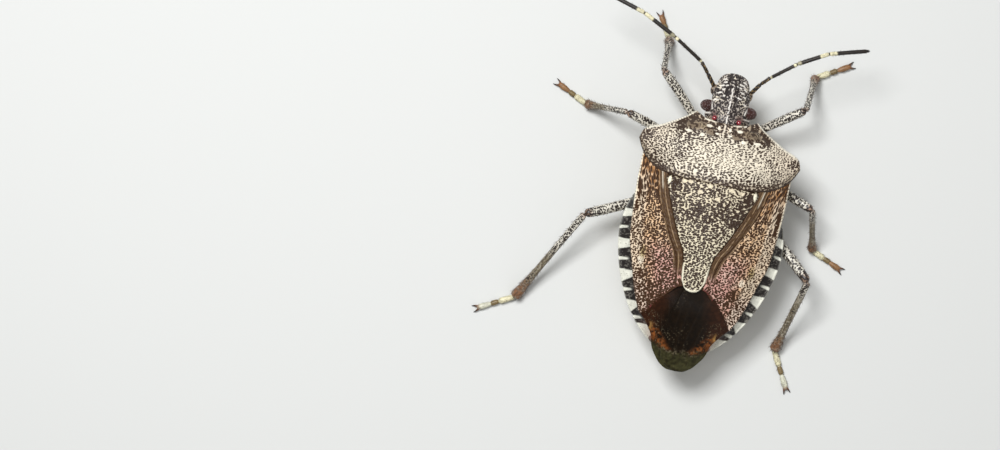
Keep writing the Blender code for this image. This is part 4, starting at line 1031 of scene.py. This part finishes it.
parts = np.linspace(0, 1, 120)
centres = along(BEAK_ROUTE, parts)
joints = np.min([np.abs(parts - joint) for joint in (0.2, 0.45, 0.72)], axis=0)
radii = 0.17 - 0.07 * parts - 0.03 * fade(0.02, 0.0, joints)
radii *= np.sqrt(np.clip((1.0 - parts) / 0.03, 0.02, 1))
rings, way, turn, _, s = tube(centres, radii, 24)
near = punctures(turn * 0.15, way, 0.12, 1.2, 141)
ground = blend_colours((0.45, 0.33, 0.18), ((0.03, 0.02, 0.015), fade(0.85, 1.0, s)))
skin = wrap(rings, {"ground": ground, "pit": 0.5 * fade(0.35, 0.15, near)})
beak = make_piece("beak", skin, body_cuticle)
fit(beak, ["rostrum"])

# Feelers
# Each feeler has five thin joints of almost black cuticle with pale rings: a fleck at the third
# joint, a broad ring across the fourth, and a pale base to the last.
FEELER_JOINTS = {
    "right": [(0.92, 14.2, 3.2), (1.28, 14.74, 3.5), (1.68, 15.14, 3.8), (2.8, 16.03, 4.3),
              (4.2, 16.82, 4.4), (6.17, 17.4, 4.1)],
    "left": [(-0.92, 14.2, 3.2), (-1.36, 14.72, 3.5), (-1.8, 15.22, 3.8), (-3.37, 16.13, 4.3),
             (-5.05, 16.96, 4.4), (-7.23, 17.63, 4.1)],
}
# The part of each joint's length that is pale: from, to.
FEELER_RINGS = {2: (0.0, 0.07), 3: (0.0, 0.13), 4: (0.02, 0.19)}
FEELER_RADII = (0.10, 0.085, 0.085, 0.10, 0.10)

bristle_tree, start, end = new_tree(
    "bristles", ("Density", "Float", 3e7), ("Length", "Float", 1e-4), ("Width", "Float", 8e-6),
    ("Lean", "Float", 1.0), ("Seed", "Int", 1), ("Finish", "Material", None))
hairy = geo(bristle_tree, "InputNamedAttribute", {"Name": "hair"}, data_type="FLOAT")
ahead = geo(bristle_tree, "InputNamedAttribute", {"Name": "lie"},
            data_type="FLOAT_VECTOR")
crowding = add(bristle_tree, "Math", {0: start.outputs["Density"], 1: hairy},
               operation="MULTIPLY")
sites = geo(bristle_tree, "DistributePointsOnFaces", {
    "Mesh": start.outputs["Geometry"], "Density": crowding, "Seed": start.outputs["Seed"]},
            distribute_method="RANDOM")
aim = add(bristle_tree, "VectorMath",
          {0: ahead, 1: start.outputs["Lean"], 2: sites.outputs["Normal"]},
          operation="MULTIPLY_ADD")
upright = put(bristle_tree, "FunctionNodeAlignRotationToVector", {"Vector": aim}, axis="Z")
hair = geo(bristle_tree, "MeshCone", {
    "Vertices": 5, "Radius Bottom": start.outputs["Width"], "Radius Top": 0.0,
    "Depth": start.outputs["Length"]}, fill_type="NGON")
uneven = put(bristle_tree, "FunctionNodeRandomValue",
             {2: 0.6, 3: 1.15, "Seed": start.outputs["Seed"]}, data_type="FLOAT")
hairs = geo(bristle_tree, "InstanceOnPoints", {
    "Points": sites, "Instance": marked(bristle_tree, hair), "Rotation": upright,
    "Scale": uneven.outputs[1]})
close_tree(bristle_tree, start, end, hairs)


def new_bristle(name, colour):
    """The plain brown horn of bristles."""
    made, tree, shader, where = new_finish(name, Roughness=0.45, Specular_IOR_Level=0.4)
    feed(shader, {"Base Color": add(tree, "MixRGB", {
        "Fac": noise(tree, where, 20000.0, 2.0), "Color1": (*colour, 1),
        "Color2": (*(1.8 * np.array(colour)), 1)})})
    return made


def hairy_skin(rings, lie, ground, pit, hair):
    """Skin of a limb with its masks, whose bristles lie along it as densely as hair says."""
    hair = hair * np.ones(rings.shape[:2])
    return wrap(rings, {"ground": ground, "pit": pit, "lie": lie, "hair": hair})


dark_bristle = new_bristle("dark bristle", (0.020, 0.014, 0.010))
feeler_cuticle = cuticle("feeler cuticle", (0.007, 0.006, 0.005), rough=0.50, speck=0.3)
for side_name, joints in FEELER_JOINTS.items():
    joints = [np.array(joint) for joint in joints]
    skins = []
    for k in range(5):
        here, there = joints[k], joints[k + 1]
        count = 40 if k < 2 else 90
        parts = np.linspace(0, 1, count)
        length = np.linalg.norm(there - here)
        sag = np.array([0, 0, 0.05]) * (4 * parts * (1 - parts))[:, None]
        centres = here + (there - here) * parts[:, None] + sag
        ends = np.minimum(parts * length / 0.10, (1 - parts) * length / 0.06 + 0.25)
        radii = FEELER_RADII[k] * (0.45 + 0.55 * np.sqrt(np.clip(ends, 0, 1)))
        if k == 4:
            radii *= np.sqrt(np.clip((1 - parts) / 0.12, 0.02, 1))
        rings, way, turn, lie, s = tube(centres, radii, 20)
        pale = np.zeros_like(way)
        if k in FEELER_RINGS:
            begin, stop = FEELER_RINGS[k]
            pale = fade(stop + 0.03, stop - 0.03, s) * fade(begin - 0.01, begin + 0.01, s)
        if k == 2:
            pale = np.maximum(pale, fade(0.86, 0.9, s) * fade(0.99, 0.95, s))
        if k == 3:
            pale = np.maximum(0.5 * pale, fade(0.70, 0.75, s) * fade(0.995, 0.98, s))
        near = punctures(turn * 0.1, way, 0.09, 1.3, 151 + k)
        fleck = fade(0.50, 0.66, near) * (0.8 if k < 2 else 0.06)
        ground = blend_colours((0.014, 0.010, 0.008), ((0.34, 0.22, 0.09), fleck),
                               ((0.68, 0.63, 0.42), pale))
        dark = 0.6 * fade(0.5, 0.3, near) * (1 - pale)
        skins.append(hairy_skin(rings, lie, ground, dark, 0.4 if k < 2 else 1.0))
    feeler = make_piece(f"feeler_{side_name}", join_skins(*skins), feeler_cuticle)
    grow(feeler, bristle_tree, density=1.1e8, length=0.10 * MM, width=0.006 * MM, lean=1.2,
         seed=3, finish=dark_bristle)
    fit(feeler, [f"antenna_{side_name}"])

# Legs and feet
# Each leg has a stout thigh and a slim shin of cream cuticle mottled with black, and a foot of
# three joints that ends in two curved claws. The shin widens to a red-brown end.
LEGS = {
    "fore_left": ((-3.5, 14.5, 2.9), (-3.4, 16.25, 0.46), (-4.08, 17.4, 0.22), (0, 0.1, 0)),
    "fore_right": ((3.8, 13.98, 3.0), (4.2, 15.85, 0.46), (5.85, 16.8, 0.22), (0, 0, 0)),
    "mid_left": ((-4.85, 12.1, 2.9), (-6.84, 12.2, 0.46), (-8.45, 12.95, 0.22), (0, 0.1, 0)),
    "mid_right": ((5.12, 9.2, 2.9), (5.8, 7.3, 0.46), (7.4, 6.6, 0.22), (0, 0, -0.1)),
    "hind_left": ((-5.88, 6.75, 2.5), (-8.45, 1.93, 0.46), (-10.2, 1.0, 0.22), (0, -0.1, -0.3)),
    "hind_right": ((5.6, 5.65, 3.1), (4.95, 1.98, 0.46), (5.95, 0.12, 0.22), (-0.1, 0.35, -0.45)),
}
THIGH_RADII = [(0, 0.18), (0.12, 0.2), (0.45, 0.245), (0.8, 0.255), (0.93, 0.235), (1, 0.21)]
SHIN_RADII = [(0, 0.15), (0.06, 0.175), (0.2, 0.17), (0.6, 0.165), (0.82, 0.2), (0.93, 0.25),
              (0.97, 0.27), (1, 0.25)]
FOOT_RADII = [(0, 0.12), (0.1, 0.14), (0.36, 0.155), (0.41, 0.09), (0.46, 0.125), (0.58, 0.135),
              (0.62, 0.09), (0.68, 0.12), (0.85, 0.15), (1.0, 0.12)]
LEG_CREAM = (0.64, 0.61, 0.53)
LEG_OLIVE = (0.12, 0.09, 0.042)
LEG_RED = (0.22, 0.095, 0.042)
FOOT_PALE = (0.64, 0.60, 0.40)
CLAW_LENGTH = 0.38
CLAW_SPREAD = 0.55
ANKLE_HEIGHT = 0.27
TOE_HEIGHT = 0.15

leg_cuticle = cuticle("leg cuticle", (0.022, 0.016, 0.014), rough=0.38)
brown_bristle = new_bristle("brown bristle", (0.055, 0.030, 0.016))


def limb(start, stop, bow, stations, slim, ends, count, shape=None):
    """Rings of a limb bent by its bow, with round ends, and how far along it they are."""
    parts = np.linspace(0, 1, count)
    lift = (4 * parts * (1 - parts))[:, None]
    centres = start + (stop - start) * parts[:, None] + lift * np.array(bow)
    length = np.linalg.norm(stop - start)
    radii = curve(stations, parts) * slim * round_ends(parts, length, *ends)
    return tube(centres, radii, 40, shape)


def round_ends(parts, length, first, last):
    """Shrink a limb's radius to nothing over its last stretch at each end."""
    ends = np.minimum(parts * length / first, (1 - parts) * length / last)
    return np.sqrt(np.clip(ends, 0.01, 1) * (2 - np.clip(ends, 0.01, 1)))


def off_floor(points):
    """1 where a bristle stays clear of the floor, and 0 lower down."""
    return fade(0.12, 0.2, points[..., 2])


def shin_furrow(way, turn):
    """The shallow furrow along the top of a shin."""
    return 1 - 0.10 * np.exp(-((turn - math.pi / 2) / 0.35) ** 2)


for place, (knee, ankle, toe, bow) in LEGS.items():
    pair, side_name = place.split("_")
    side = -1 if side_name == "left" else 1
    hip = np.array(HIPS[pair]) * (side, 1, 1)
    knee, ankle, toe = (np.array(point, dtype=float) for point in (knee, ankle, toe))
    ankle[2], toe[2] = ANKLE_HEIGHT, TOE_HEIGHT
    seed = 161 + list(LEGS).index(place)
    slim = 0.88 if pair != "hind" else 1.0

    rings, way, turn, lie, s = limb(hip, knee, bow, THIGH_RADII, slim, (0.2, 0.22), 200)
    near = punctures(turn * 0.25, way, 0.095, 1.7, seed)
    crowd = 0.43 + 0.5 * (drift(turn, way, 0.3, seed + 20) - 0.5) + 0.15 * fade(0.90, 0.98, s)
    ground = blend_colours(LEG_CREAM, (LEG_RED, 0.8 * fade(0.92, 0.98, s)))
    skins = [hairy_skin(rings, lie, ground, pitted(near, crowd, 0.14), 0.3)]

    rings, way, turn, lie, s = limb(knee, ankle, (0, 0, 0), SHIN_RADII, slim, (0.16, 0.12), 220,
                                    shin_furrow)
    near = punctures(turn * 0.18, way, 0.09, 1.5, seed + 7)
    plain_from = {"fore": 0.9, "mid": 0.35, "hind": 0.3}[pair] - (0.25 if side > 0 else 0.0)
    sway = 0.1 * (drift(turn, way, 0.2, seed + 25) - 0.5)
    middle = fade(plain_from, plain_from + 0.25, s + sway)
    middle *= 0.9 if pair != "fore" else 0.55
    crowd = 0.46 - 0.22 * middle + 0.4 * (drift(turn, way, 0.4, seed + 27) - 0.5)
    pit = pitted(near, crowd, 0.14) * (1 - 0.3 * middle)
    fleck = fade(0.5, 0.8, drift(turn * 0.2, way, 0.07, seed + 29))
    reddish = fade(0.70, 0.92, s) * (1 - 0.6 * fleck)
    ground = blend_colours(LEG_CREAM, (LEG_OLIVE, middle * (1 - 0.3 * fleck)),
                           (LEG_RED, 0.8 * reddish), (LEG_RED, 0.6 * fade(0.06, 0.0, s)))
    skins.append(hairy_skin(rings, lie, ground, pit * (1 - 0.4 * fade(0.85, 0.95, s)),
                            off_floor(rings) * (0.5 + 1.2 * fade(0.6, 0.95, s))))
    leg = make_piece(f"leg_{place}", join_skins(*skins), leg_cuticle)
    grow(leg, bristle_tree, density=6.5e7, length=0.17 * MM, width=0.009 * MM, lean=1.1,
         seed=seed, finish=brown_bristle)
    fit(leg, [f"femur_{place}", f"tibia_{place}"])

    parts = np.linspace(0, 1, 160)
    length = np.linalg.norm(toe - ankle)
    centres = ankle + (toe - ankle) * parts[:, None]
    centres[:, 2] = np.interp(parts, (0, 0.12, 1), (0.24, 0.165, 0.15))
    radii = curve(FOOT_RADII, parts) * round_ends(parts, length, 0.08, 0.14)
    rings, way, turn, lie, s = tube(centres, radii, 28)
    near = punctures(turn * 0.13, way, 0.10, 1.3, seed + 13)
    third = (0.25, 0.13, 0.055) if pair != "hind" else (0.58, 0.58, 0.46)
    ground = blend_colours(FOOT_PALE, ((0.17, 0.12, 0.05), fade(0.40, 0.43, s)),
                           (third, fade(0.61, 0.64, s)), (LEG_RED, 0.7 * fade(0.88, 0.97, s)))
    skins = [hairy_skin(rings, lie, ground, 0.5 * fade(0.35, 0.15, near), off_floor(rings))]
    level = (toe - ankle) * (1, 1, 0)
    level /= np.linalg.norm(level)
    beside = np.array([-level[1], level[0], 0])
    parts = np.linspace(0, 1, 40)[:, None]
    for hook in (-1, 1):
        way_out = level * math.cos(CLAW_SPREAD) + beside * hook * math.sin(CLAW_SPREAD)
        centres = toe - level * 0.1 + beside * hook * 0.05 + way_out * parts * CLAW_LENGTH
        centres = centres + np.array([0, 0, 1.0]) * (0.10 * parts - 0.22 * parts ** 2)
        centres = centres - beside * hook * 0.08 * parts ** 2
        taper = 0.06 * (1 - 0.85 * parts[:, 0] ** 1.2)
        radii = taper * round_ends(parts[:, 0], CLAW_LENGTH, 0.05, 0.02)
        rings, _, _, lie, s = tube(centres, radii, 14)
        ground = blend_colours((0.12, 0.05, 0.02), ((0.012, 0.006, 0.005), fade(0.2, 0.7, s)))
        skins.append(hairy_skin(rings, lie, ground, np.zeros_like(s), 0.0))
    foot = make_piece(f"foot_{place}", join_skins(*skins), leg_cuticle)
    grow(foot, bristle_tree, density=7e7, length=0.13 * MM, width=0.007 * MM, lean=1.3,
         seed=seed + 40, finish=brown_bristle)
    fit(foot, [f"tarsus_{place}"])
